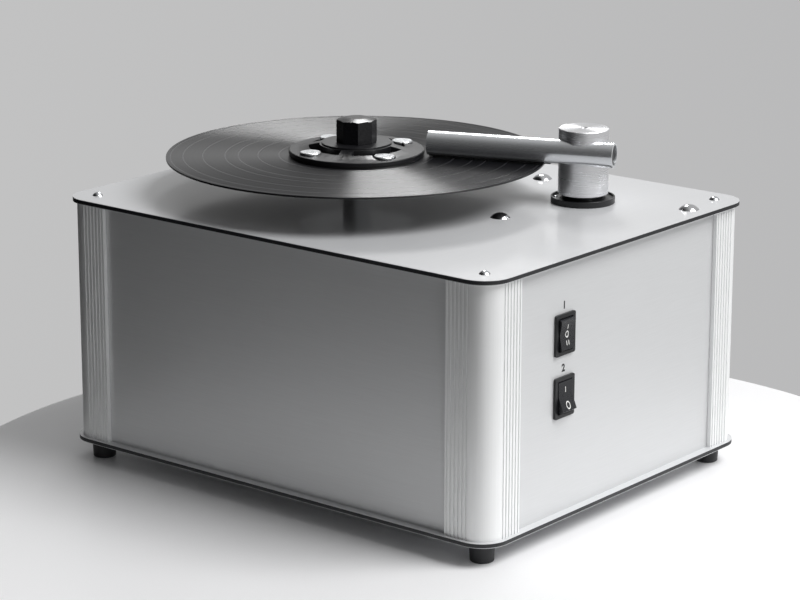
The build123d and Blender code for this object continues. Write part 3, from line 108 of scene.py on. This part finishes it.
def addNode(tree, kind, inputs, **settings):
    # One node, with its settings, and each input either linked or set
    made = tree.nodes.new("ShaderNode" + kind)
    for name, value in settings.items():
        setattr(made, name, value)
    for name, value in inputs.items():
        if isinstance(value, bpy.types.NodeSocket):
            tree.links.new(value, made.inputs[name])
        else:
            made.inputs[name].default_value = value
    return made.outputs


def newMaterial(name):
    material = bpy.data.materials.new(name)
    material.use_nodes = True
    tree = material.node_tree
    shader = tree.nodes["Principled BSDF"]
    return material, tree, shader


def setShader(tree, shader, inputs):
    for name, value in inputs.items():
        if isinstance(value, bpy.types.NodeSocket):
            tree.links.new(value, shader.inputs[name])
        else:
            shader.inputs[name].default_value = value


def placeCoordinates(tree, centre=(0.0, 0.0, 0.0)):
    spot = addNode(tree, "TexCoord", {})["Object"]
    shifted = tuple(-value for value in centre)
    return addNode(tree, "Mapping", {"Vector": spot, "Location": shifted})["Vector"]


def turnedCoordinates(tree, centre):
    # Distance from an upright turning axis in X and height in Z, so that noise makes lathe rings
    parts = addNode(tree, "SeparateXYZ", {"Vector": placeCoordinates(tree, centre)})
    flat = addNode(tree, "CombineXYZ", {"X": parts["X"], "Y": parts["Y"]})["Vector"]
    radius = addNode(tree, "VectorMath", {0: flat}, operation="LENGTH")["Value"]
    return addNode(tree, "CombineXYZ", {"X": radius, "Z": parts["Z"]})["Vector"]


def grainNoise(tree, coordinates, cell, detail=3.0):
    # Noise whose cells measure cell = (x, y, z) millimetres
    scale = tuple(1000.0 / size for size in cell)
    sized = addNode(tree, "Mapping", {"Vector": coordinates, "Scale": scale})["Vector"]
    return addNode(tree, "TexNoise", {"Vector": sized, "Scale": 1.0, "Detail": detail})["Fac"]


noiseSpan = (0.3, 0.7)  # one noise lies mostly between these
sumSpan = (0.7, 1.3)  # and two noises added between these


def spreadOver(tree, value, low, high, span):
    inputs = {"Value": value, "From Min": span[0], "From Max": span[1], "To Min": low, "To Max": high}
    return addNode(tree, "MapRange", inputs)["Result"]


def rampOf(tree, factor, low, high, places=(0.0, 1.0)):
    ramp = addNode(tree, "ValToRGB", {"Fac": factor})["Color"]
    elements = ramp.node.color_ramp.elements
    elements[0].position, elements[1].position = places
    elements[0].color, elements[1].color = tone(low), tone(high)
    return ramp


def finish(name, tones, metallic, roughness, cell, bump, smudge=40.0, turnedAt=None, **constants):
    # A surface with its own grain: colour and roughness vary with it and it is raised by bump millimetres.
    # cell is the grain's size and smudge that of a soft cloud over it, both in millimetres
    material, tree, shader = newMaterial(name)
    spot = turnedCoordinates(tree, turnedAt) if turnedAt else placeCoordinates(tree)
    grain = grainNoise(tree, spot, cell)
    cloud = grainNoise(tree, placeCoordinates(tree), (smudge, smudge, smudge), 2.0)
    both = addNode(tree, "Math", {0: grain, 1: cloud}, operation="ADD")["Value"]
    relief = addNode(tree, "Bump", {"Height": grain, "Distance": bump / 1000.0, "Strength": 1.0})["Normal"]
    setShader(tree, shader, {
        "Base Color": rampOf(tree, grain, tones[0], tones[1], noiseSpan),
        "Roughness": spreadOver(tree, both, roughness[0], roughness[1], sumSpan),
        "Metallic": metallic,
        "Normal": relief,
    })
    setShader(tree, shader, constants)
    return material


def paint(names, material):
    for name in names.split():
        nodes[name].data.materials.clear()
        nodes[name].data.materials.append(material)


# Rolled and anodised sheet: a soft silver with a fine grain along it
panelSatin = finish("anodisedAluminiumSheet", ("#d3d4d5", "#d7d8d9"), 0.4, (0.44, 0.48),
                    (30.0, 30.0, 0.6), 0.0002, smudge=60.0)
# Coated composite skin: pale and smooth, and its coat mirrors what stands on it softly
skinSatin = finish("coatedAluminiumSkin", ("#cbccce", "#cfd0d2"), 0.05, (0.42, 0.46),
                   (40.0, 0.6, 40.0), 0.0002, smudge=70.0, **{"Coat Weight": 0.85, "Coat Roughness": 0.14})
# Sawn polyethylene core between the skins: nearly black with small saw marks
coreBlack = finish("sawnPolyethyleneCore", ("#16171a", "#232427"), 0.0, (0.4, 0.55), (0.5, 0.5, 3.0), 0.01)
# Extruded and anodised posts: nearly white, with die lines up them
postSatin = finish("extrudedAluminium", ("#eeefef", "#f3f4f4"), 0.25, (0.34, 0.4),
                   (0.5, 0.5, 120.0), 0.0002, smudge=50.0)

# Machined aluminium: bright, with a fine even grain
machinedAluminium = finish("machinedAluminium", ("#c6c8ca", "#dcdee0"), 1.0, (0.25, 0.38),
                           (0.6, 0.6, 0.6), 0.002)
# Ground steel: greyer than aluminium, with its marks drawn out along the shaft
groundSteel = finish("groundSteel", ("#b5b6b8", "#d0d1d3"), 1.0, (0.2, 0.34), (0.5, 0.5, 4.0), 0.0015)
# Sintered bronze: warm, matt and open-grained
bushBronze = finish("sinteredBronze", ("#8f6437", "#b78a54"), 1.0, (0.4, 0.55), (0.3, 0.3, 0.3), 0.01)
# Painted casting: grey, with the pebbled skin of the sand under the paint
castGrey = finish("castAluminiumPaint", ("#5b5e61", "#6c6f72"), 0.0, (0.45, 0.6), (1.4, 1.4, 1.4), 0.03)
# Stoved paint: black and half glossy, with a slight orange peel
motorBlack = finish("stovedMotorPaint", ("#1c1d1f", "#28292b"), 0.0, (0.3, 0.42), (0.9, 0.9, 0.9), 0.01)
# Deep-drawn can: silver, with draw lines up its side
canAluminium = finish("drawnAluminiumCan", ("#c2c4c6", "#d8dadb"), 1.0, (0.3, 0.4), (0.5, 0.5, 20.0), 0.002)

# Turned acetal: near black, with faint lathe rings
turnedAcetal = finish("turnedAcetal", ("#0e0e10", "#19191b"), 0.0, (0.28, 0.4), (0.5, 9.0, 0.5), 0.004,
                      turnedAt=(column[0], column[1], patternHeights["collar"]))
# Moulded polypropylene: dark grey and waxy
tankPlastic = finish("mouldedPolypropylene", ("#1b1c1e", "#27282b"), 0.0, (0.38, 0.52),
                     (1.0, 1.0, 1.0), 0.01)
# Moulded rubber: matt black
sealRubber = finish("mouldedSealRubber", ("#101012", "#1c1c1e"), 0.0, (0.5, 0.65), (0.7, 0.7, 0.7), 0.01)
# Mat rubber: the dullest black, moulded with rings round the spindle
matRubber = finish("ribbedMatRubber", ("#121214", "#1d1d20"), 0.0, (0.6, 0.75), (1.6, 9.0, 1.6), 0.04,
                   turnedAt=(spindle[0], spindle[1], patternHeights["mat"]))
# Foot rubber: denser than the seals, so it shines a little more
footRubber = finish("mouldedFootRubber", ("#131315", "#202124"), 0.0, (0.45, 0.6), (0.6, 0.6, 0.6), 0.01)
# Moulded drain fittings: black and fairly glossy
drainPlastic = finish("mouldedDrainPlastic", ("#141517", "#222326"), 0.0, (0.3, 0.42), (0.8, 0.8, 0.8), 0.006)
# Moulded nylon of the switch bodies: black, with the fine spark texture of the mould
switchNylon = finish("mouldedNylon", ("#101113", "#1a1b1e"), 0.0, (0.34, 0.46), (0.35, 0.35, 0.35), 0.006)
# Rockers from a polished mould: smoother than the bodies around them
rockerNylon = finish("polishedNylon", ("#17181b", "#212226"), 0.0, (0.24, 0.34), (0.5, 0.5, 0.5), 0.003)
# Tinned brass: pale yellow metal
terminalBrass = finish("tinnedBrass", ("#bfa060", "#d3b87b"), 1.0, (0.3, 0.42), (0.5, 0.5, 0.5), 0.003)
# Turned end plugs: matt black plastic
plugPlastic = finish("turnedPlugPlastic", ("#0f1012", "#1b1c1f"), 0.0, (0.35, 0.45), (0.5, 0.5, 0.5), 0.005)
# Clamp of textured acetal: black with a fine texture that breaks up the light
clampPlastic = finish("texturedAcetal", ("#0d0d0f", "#1b1b1e"), 0.0, (0.3, 0.44), (0.55, 0.55, 0.55), 0.02,
                      smudge=12.0)
# Moulded phenolic knob: deep black and glossy
knobPlastic = finish("mouldedPhenolic", ("#0c0c0e", "#161619"), 0.0, (0.22, 0.34), (0.5, 0.5, 0.5), 0.006,
                     smudge=14.0)

# Turned aluminium: lathe rings draw the light into a fan across the top and soft lines round the side
headTurned = finish("turnedAluminium", ("#e9eaec", "#efeff1"), 0.95, (0.265, 0.285), (0.8, 9.0, 1.2), 0.00002,
                    turnedAt=(column[0], column[1], patternHeights["head"]), Anisotropic=0.7)
# Satin studs: silver, catching the light evenly
studSatin = finish("satinAluminiumStud", ("#d5d7d9", "#e6e8ea"), 1.0, (0.24, 0.34), (0.4, 0.4, 0.4), 0.002,
                   smudge=6.0)
# Polished and anodised tube: bright along its top, dark where it faces the unlit side
tubeSatin = finish("polishedTube", ("#e2e4e7", "#ebedef"), 0.8, (0.2, 0.23), (0.5, 0.5, 0.5), 0.0002)
# Polished stainless domes: small sharp mirrors of the room
domeSteel = finish("polishedStainless", ("#cfd0d2", "#e0e1e3"), 1.0, (0.12, 0.2), (0.7, 0.7, 0.7), 0.001)
# Zinc-plated screws: bright, with a slight haze
screwSteel = finish("zincPlatedSteel", ("#c4c6c9", "#d9dbde"), 1.0, (0.18, 0.3), (0.5, 0.5, 0.5), 0.002)


velvetPile = {
    "fibre": 0.25,  # millimetres, coarser than real pile so that it shows
    "depth": 0.2,
    "tones": ("#0a0a0b", "#1b1b1d"),
}


def velvetFinish():
    # Cut velvet: black pile with a pale sheen where it is seen along the fibres
    material, tree, shader = newMaterial("cutVelvet")
    fibre = velvetPile["fibre"]
    pile = grainNoise(tree, placeCoordinates(tree), (fibre, fibre, fibre), 4.0)
    depth = velvetPile["depth"] / 1000.0
    relief = addNode(tree, "Bump", {"Height": pile, "Distance": depth, "Strength": 1.0})["Normal"]
    setShader(tree, shader, {
        "Base Color": rampOf(tree, pile, *velvetPile["tones"], noiseSpan),
        "Roughness": 0.9,
        "Normal": relief,
        "Sheen Weight": 0.6,
        "Sheen Roughness": 0.4,
    })
    return material


recordFinish = {
    "gaps": (61.5, 78.0, 93.5, 104.0, 121.5, 137.0, 147.0),  # millimetres from the spindle
    "gapWidth": 0.8,  # millimetres, like the depth and the band below
    # painted sheen: the smooth gaps between tracks get a lighter grey than the black vinyl, standing in for
    # their brighter reflection
    "gapSheenTone": "#3a3a3d",
    "gapRoughness": 0.2,
    "groove": 0.7,  # millimetres; real grooves, at about 0.1, are too fine to show
    "grooveDepth": 0.004,
    "band": 9.0,  # loud and quiet passages
    "tones": ("#070709", "#0f0f12"),
    "roughness": (0.27, 0.32),
}


def gapMask(tree, radius):
    # 1 in the smooth gaps between the tracks
    mask = None
    for place in recordFinish["gaps"]:
        inputs = {0: radius, 1: place / 1000.0, 2: recordFinish["gapWidth"] / 2000.0}
        inside = addNode(tree, "Math", inputs, operation="COMPARE")["Value"]
        if mask is None:
            mask = inside
        else:
            mask = addNode(tree, "Math", {0: mask, 1: inside}, operation="MAXIMUM")["Value"]
    return mask


def recordVinyl():
    # Pressed vinyl: its grooves gather the light into wedges, and the gaps between tracks show as rings,
    # smoother and with a painted sheen of lighter grey
    material, tree, shader = newMaterial("pressedVinyl")
    spot = turnedCoordinates(tree, (spindle[0], spindle[1], patternHeights["record"]))
    radius = addNode(tree, "SeparateXYZ", {"Vector": spot})["X"]
    gap = gapMask(tree, radius)
    grooves = grainNoise(tree, spot, (recordFinish["groove"], 9.0, 9.0), 5.0)
    bands = grainNoise(tree, spot, (recordFinish["band"], 60.0, 60.0), 2.0)
    tracks = addNode(tree, "Math", {0: bands, 1: grooves}, operation="ADD")["Value"]
    rough = spreadOver(tree, tracks, *recordFinish["roughness"], sumSpan)
    smooth = addNode(tree, "Mix", {0: gap, 2: rough, 3: recordFinish["gapRoughness"]}, data_type="FLOAT")[0]
    pressed = rampOf(tree, tracks, *recordFinish["tones"], noiseSpan)
    # painted sheen: the gap rings are coloured lighter grey on top of their real, smoother roughness
    toneWithGapSheen = addNode(tree, "Mix", {0: gap, 6: pressed, 7: tone(recordFinish["gapSheenTone"])}, data_type="RGBA")[2]
    depth = recordFinish["grooveDepth"] / 1000.0
    relief = addNode(tree, "Bump", {"Height": grooves, "Distance": depth, "Strength": 1.0})["Normal"]
    setShader(tree, shader, {
        "Base Color": toneWithGapSheen,
        "Roughness": smooth,
        "Anisotropic": 1.0,
        "Anisotropic Rotation": 0.25,  # grooves run round, so the light spreads across them
        "Tangent": addNode(tree, "Tangent", {}, direction_type="RADIAL", axis="Z")["Tangent"],
        "Normal": relief,
        "IOR": 1.54,
    })
    return material


vinyl = recordVinyl()
velvet = velvetFinish()

paint("front_panel rear_panel left_panel right_panel", panelSatin)
paint("top_plate_skins bottom_plate_skins", skinSatin)
paint("top_plate_core bottom_plate_core", coreBlack)
paint("front_left_post front_right_post rear_left_post rear_right_post", postSatin)
paint("bearing_housing motor_bracket spindle_column support_disc", machinedAluminium)
paint("bracket_standoffs spindle_shaft", groundSteel)
paint("bearing_bushes", bushBronze)
paint("gearbox", castGrey)
paint("drive_motor vacuum_motor", motorBlack)
paint("run_capacitor", canAluminium)
paint("collar lift_tube guide_bush", turnedAcetal)
paint("separator_tank fan_housing impeller", tankPlastic)
paint("tank_gasket collar_seal clamp_seal air_hose", sealRubber)
paint("support_mat", matRubber)
paint("front_left_foot front_right_foot rear_left_foot rear_right_foot", footRubber)
paint("drain_spigot drain_cap", drainPlastic)
paint("motor_switch_body vacuum_switch_body mains_inlet fuse_drawer", switchNylon)
paint("motor_rocker vacuum_rocker", rockerNylon)
paint("switch_terminals", terminalBrass)
paint("arm_end_plugs", plugPlastic)
paint("clamp_disc", clampPlastic)
paint("clamp_knob", knobPlastic)
paint("clamp_studs", studSatin)
paint("arm_head", headTurned)
paint("arm_tube", tubeSatin)
paint("velvet_strips", velvet)
paint("tank_bolts", domeSteel)
paint("top_corner_screws bottom_corner_screws collar_screws inlet_screws", screwSteel)
paint("record", vinyl)
print("stage 3: materials made")


# Pieces whose edges are finished here

def pickOnly(piece):
    if bpy.context.object and bpy.context.object.mode != "OBJECT":
        bpy.ops.object.mode_set(mode="OBJECT")
    bpy.ops.object.select_all(action="DESELECT")
    piece.select_set(True)
    bpy.context.view_layer.objects.active = piece


rounding = {
    "sharpest": 28.0,  # degrees between faces, past which an edge is rounded
    "smoothest": 50.0,  # degrees between faces, up to which they shade as one
    "sameCorner": 0.000002,  # metres between corners that are one
    "sameFlat": 0.3,  # degrees between triangles that are one face
}


def roundEdges(piece, width, segments=2):
    # Small rounds of so many millimetres on the sharp edges, with flat faces kept flat to the eye
    pickOnly(piece)
    bevel = piece.modifiers.new("edges", "BEVEL")
    bevel.width = width / 1000.0
    bevel.segments = segments
    bevel.limit_method = "ANGLE"
    bevel.angle_limit = math.radians(rounding["sharpest"])
    bevel.use_clamp_overlap = True
    bpy.ops.object.modifier_apply(modifier=bevel.name)
    bpy.ops.object.shade_smooth_by_angle(angle=math.radians(rounding["smoothest"]))
    weights = piece.modifiers.new("normals", "WEIGHTED_NORMAL")
    weights.keep_sharp = True
    bpy.ops.object.modifier_apply(modifier=weights.name)


def dressNode(nodeName, pieceName, width):
    # A merged copy of the solid's own mesh, with its edges rounded
    source = nodes[nodeName]
    piece = bpy.data.objects.new(pieceName, source.data.copy())
    stage.collection.objects.link(piece)
    pickOnly(piece)
    bpy.ops.object.mode_set(mode="EDIT")
    bpy.ops.mesh.select_all(action="SELECT")
    bpy.ops.mesh.customdata_custom_splitnormals_clear()
    bpy.ops.mesh.remove_doubles(threshold=rounding["sameCorner"])
    bpy.ops.mesh.dissolve_limited(angle_limit=math.radians(rounding["sameFlat"]))
    bpy.ops.object.mode_set(mode="OBJECT")
    roundEdges(piece, width)
    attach(piece, source["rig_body"])
    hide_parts(nodeName)


# Each node with its piece's name, the width of its rounds in millimetres, and its slot
edgeRounds = {
    "clamp_disc": ("clampDisc", 0.35, "clamp_plastic"),
    "clamp_knob": ("clampKnob", 0.7, "clamp_plastic"),
    "clamp_studs": ("clampStuds", 0.25, "stud_aluminium"),
    "arm_head": ("armHead", 0.3, "head_aluminium"),
    "collar": ("columnCollar", 0.3, "collar_plastic"),
    "motor_switch_body": ("motorSwitchBody", 0.35, "switch_plastic"),
    "vacuum_switch_body": ("vacuumSwitchBody", 0.35, "switch_plastic"),
    "motor_rocker": ("motorRocker", 0.5, "rocker_plastic"),
    "vacuum_rocker": ("vacuumRocker", 0.5, "rocker_plastic"),
    "drain_cap": ("drainCap", 0.5, "drain_plastic"),
    "fuse_drawer": ("fuseDrawer", 0.3, "switch_plastic"),
    "mains_inlet": ("mainsInlet", 0.4, "switch_plastic"),
}
for nodeName, (pieceName, width, slotName) in edgeRounds.items():
    dressNode(nodeName, pieceName, width)
print("stage 4: edges rounded on", len(edgeRounds), "pieces")


# Printed numerals above the switches and marks on the rockers

marking = {
    "ink": 0.00005,  # how proud the print stands
    "switchX": -0.0704,
    "numerals": {"1": 0.1790, "2": 0.1310},
    "numeralHeight": 0.0056,
    "numeralWeight": 0.0003,  # makes the strokes bolder
    "capShare": 0.7,  # a numeral's height over the size of its type
    "stroke": 0.0007,
    "rockerHeights": {"motor": 0.157, "vacuum": 0.109},
    "rayStart": -0.3,  # in front of both rockers
}


def joinPieces(pieces, name):
    pickOnly(pieces[0])
    for piece in pieces[1:]:
        piece.select_set(True)
    if len(pieces) > 1:
        bpy.ops.object.join()
    made = bpy.context.object
    made.name = name
    bpy.ops.object.transform_apply(location=True, rotation=True, scale=True)
    return made


def printNumeral(text, height, centreZ):
    # One numeral as thin ink on the front panel
    bpy.ops.object.select_all(action="DESELECT")
    bpy.ops.object.text_add(location=(0.0, 0.0, 0.0))
    words = bpy.context.object
    words.data.body = text
    words.data.align_x = "CENTER"
    words.data.size = height / marking["capShare"]
    words.data.extrude = marking["ink"] / 2
    words.data.offset = marking["numeralWeight"]
    words.data.resolution_u = 6
    pickOnly(words)
    bpy.ops.object.convert(target="MESH")
    numeral = bpy.context.object
    numeral.rotation_euler = (math.pi / 2, 0.0, 0.0)
    numeral.location = (marking["switchX"], frontFace - marking["ink"] / 2, centreZ - height / 2)
    numeral = joinPieces([numeral], "numeral" + text)
    numeral.data.materials.clear()
    numeral.data.materials.append(inkBlack)
    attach(numeral, "chassis")


def markBar(x, z, height):
    # An upright stroke, subdivided so that it can follow the rocker's two faces
    bpy.ops.object.select_all(action="DESELECT")
    size = (marking["stroke"], marking["ink"], height)
    bpy.ops.mesh.primitive_cube_add(size=1.0, location=(x, 0.0, z), scale=size)
    bar = bpy.context.object
    bpy.ops.object.mode_set(mode="EDIT")
    bpy.ops.mesh.select_all(action="SELECT")
    bpy.ops.mesh.subdivide(number_cuts=5)
    bpy.ops.object.mode_set(mode="OBJECT")
    return bar


def markRing(z, width, height):
    bpy.ops.object.select_all(action="DESELECT")
    bpy.ops.mesh.primitive_torus_add(
        major_segments=40, minor_segments=6, major_radius=0.5, minor_radius=0.5 * marking["stroke"] / width,
        location=(0.0, 0.0, z), rotation=(math.pi / 2, 0.0, 0.0))
    ring = bpy.context.object
    ring.scale = (width, height, marking["ink"] / marking["stroke"] * width)
    return ring


def printMarks(rockerNode, centreZ, name, pieces):
    # Every point of the marks is dropped onto the rocker's face
    made = joinPieces(pieces, name)
    rocker = bpy.data.objects[edgeRounds[rockerNode][0]]
    bpy.context.view_layer.update()
    for vertex in made.data.vertices:
        x, z = marking["switchX"] + vertex.co.x, centreZ + vertex.co.z
        face = rocker.ray_cast((x, marking["rayStart"], z), (0.0, 1.0, 0.0))[1]
        vertex.co = (x, face.y + vertex.co.y - marking["ink"] * 0.4, z)
    made.data.materials.clear()
    made.data.materials.append(inkWhite)
    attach(made, rockerNode)


# Screen ink on the panel: dull black
inkBlack = finish("screenPrintBlack", ("#101012", "#18181a"), 0.0, (0.45, 0.6), (0.3, 0.3, 0.3), 0.004)
# Pad-printed ink on the rockers: dull white
inkWhite = finish("padPrintWhite", ("#d4d4d2", "#e6e6e4"), 0.0, (0.45, 0.6), (0.3, 0.3, 0.3), 0.004)

for text, height in marking["numerals"].items():
    printNumeral(text, marking["numeralHeight"], height)
printMarks("motor_rocker", marking["rockerHeights"]["motor"], "motorMarks", [
    markBar(0.0, 0.0060, 0.0034),
    markRing(0.0002, 0.0034, 0.0044),
    markBar(-0.0013, -0.0062, 0.0034),
    markBar(0.0013, -0.0062, 0.0034)])
printMarks("vacuum_rocker", marking["rockerHeights"]["vacuum"], "vacuumMarks", [
    markBar(0.0, 0.0058, 0.0042),
    markRing(-0.0058, 0.0040, 0.0050)])
print("stage 5: numerals and marks printed")


# Floor, walls and light

floorDisc = {
    "centre": (-0.0514, -0.0799),
    "radius": 0.408,
    "thickness": 0.02,
    "edge": 3.0,  # millimetres
}


def makeFloor():
    x, y = floorDisc["centre"]
    thickness = floorDisc["thickness"]
    bpy.ops.object.select_all(action="DESELECT")
    bpy.ops.mesh.primitive_cylinder_add(
        vertices=256, radius=floorDisc["radius"], depth=thickness, location=(x, y, -thickness / 2))
    floor = bpy.context.object
    floor.name = "paleFloor"
    roundEdges(floor, floorDisc["edge"], 3)
    bpy.ops.object.transform_apply(location=True, rotation=True, scale=True)
    # Laminated table top: white and smooth, nearly matt
    floor.data.materials.append(finish("laminatedTop", ("#efeff0", "#f3f3f4"), 0.0, (0.38, 0.46),
                                       (1.2, 1.2, 1.2), 0.002, smudge=90.0))


# The key lights the whole object, and the rear one draws only the reflections on metal and vinyl
softboxes = {
    "keySoftbox": {
        "place": (0.58, -1.7, 2.4), "target": (0.05, -0.05, 0.12),
        "width": 1.6, "height": 1.6, "watts": 86.0, "diffuse": True,
    },
    "rearSoftbox": {
        "place": (0.921, 0.671, 1.206), "target": (0.0, 0.0, 0.25),
        "width": 0.26, "height": 0.34, "watts": 6.5, "diffuse": False,
    },
}


def areaLight(name, place, target, width, height, watts, diffuse):
    data = bpy.data.lights.new(name, "AREA")
    data.shape = "RECTANGLE"
    data.size, data.size_y = width, height
    data.energy = watts
    lamp = bpy.data.objects.new(name, data)
    stage.collection.objects.link(lamp)
    direction = Vector(target) - Vector(place)
    lamp.matrix_world = Matrix.Translation(place) @ direction.to_track_quat("-Z", "Y").to_matrix().to_4x4()
    lamp.visible_diffuse = diffuse


# Each gradient runs along an axis, over a span of its share of the viewing direction
roomTones = {
    "wall": {"axis": (0.62, -0.78, 0.0), "span": (-0.3, 0.3), "tones": ("#c6c6c6", "#b5b5b6")},
    "room": {"axis": (-0.75, 0.66, 0.0), "span": (-0.1, 0.55), "tones": ("#c0c0c0", "#060606")},
}


def roomGradient(tree, direction, axis, span, tones):
    along = addNode(tree, "VectorMath", {0: direction, 1: axis}, operation="DOT_PRODUCT")["Value"]
    return rampOf(tree, spreadOver(tree, along, 0.0, 1.0, span), *tones)


def makeWorld():
    # A grey wall is seen behind the object, and round it the room darkens to the rear left
    world = bpy.data.worlds.new("studioWall")
    stage.world = world
    world.use_nodes = True
    tree = world.node_tree
    direction = addNode(tree, "TexCoord", {})["Generated"]
    wall = roomGradient(tree, direction, **roomTones["wall"])
    room = roomGradient(tree, direction, **roomTones["room"])
    seen = addNode(tree, "LightPath", {})["Is Camera Ray"]
    both = addNode(tree, "Mix", {0: seen, 6: room, 7: wall}, data_type="RGBA")[2]
    background = tree.nodes["Background"]
    tree.links.new(both, background.inputs["Color"])
    background.inputs["Strength"].default_value = 1.0


makeFloor()
for name, lamp in softboxes.items():
    areaLight(name, **lamp)
makeWorld()
print("stage 6: floor, wall and lamps placed")
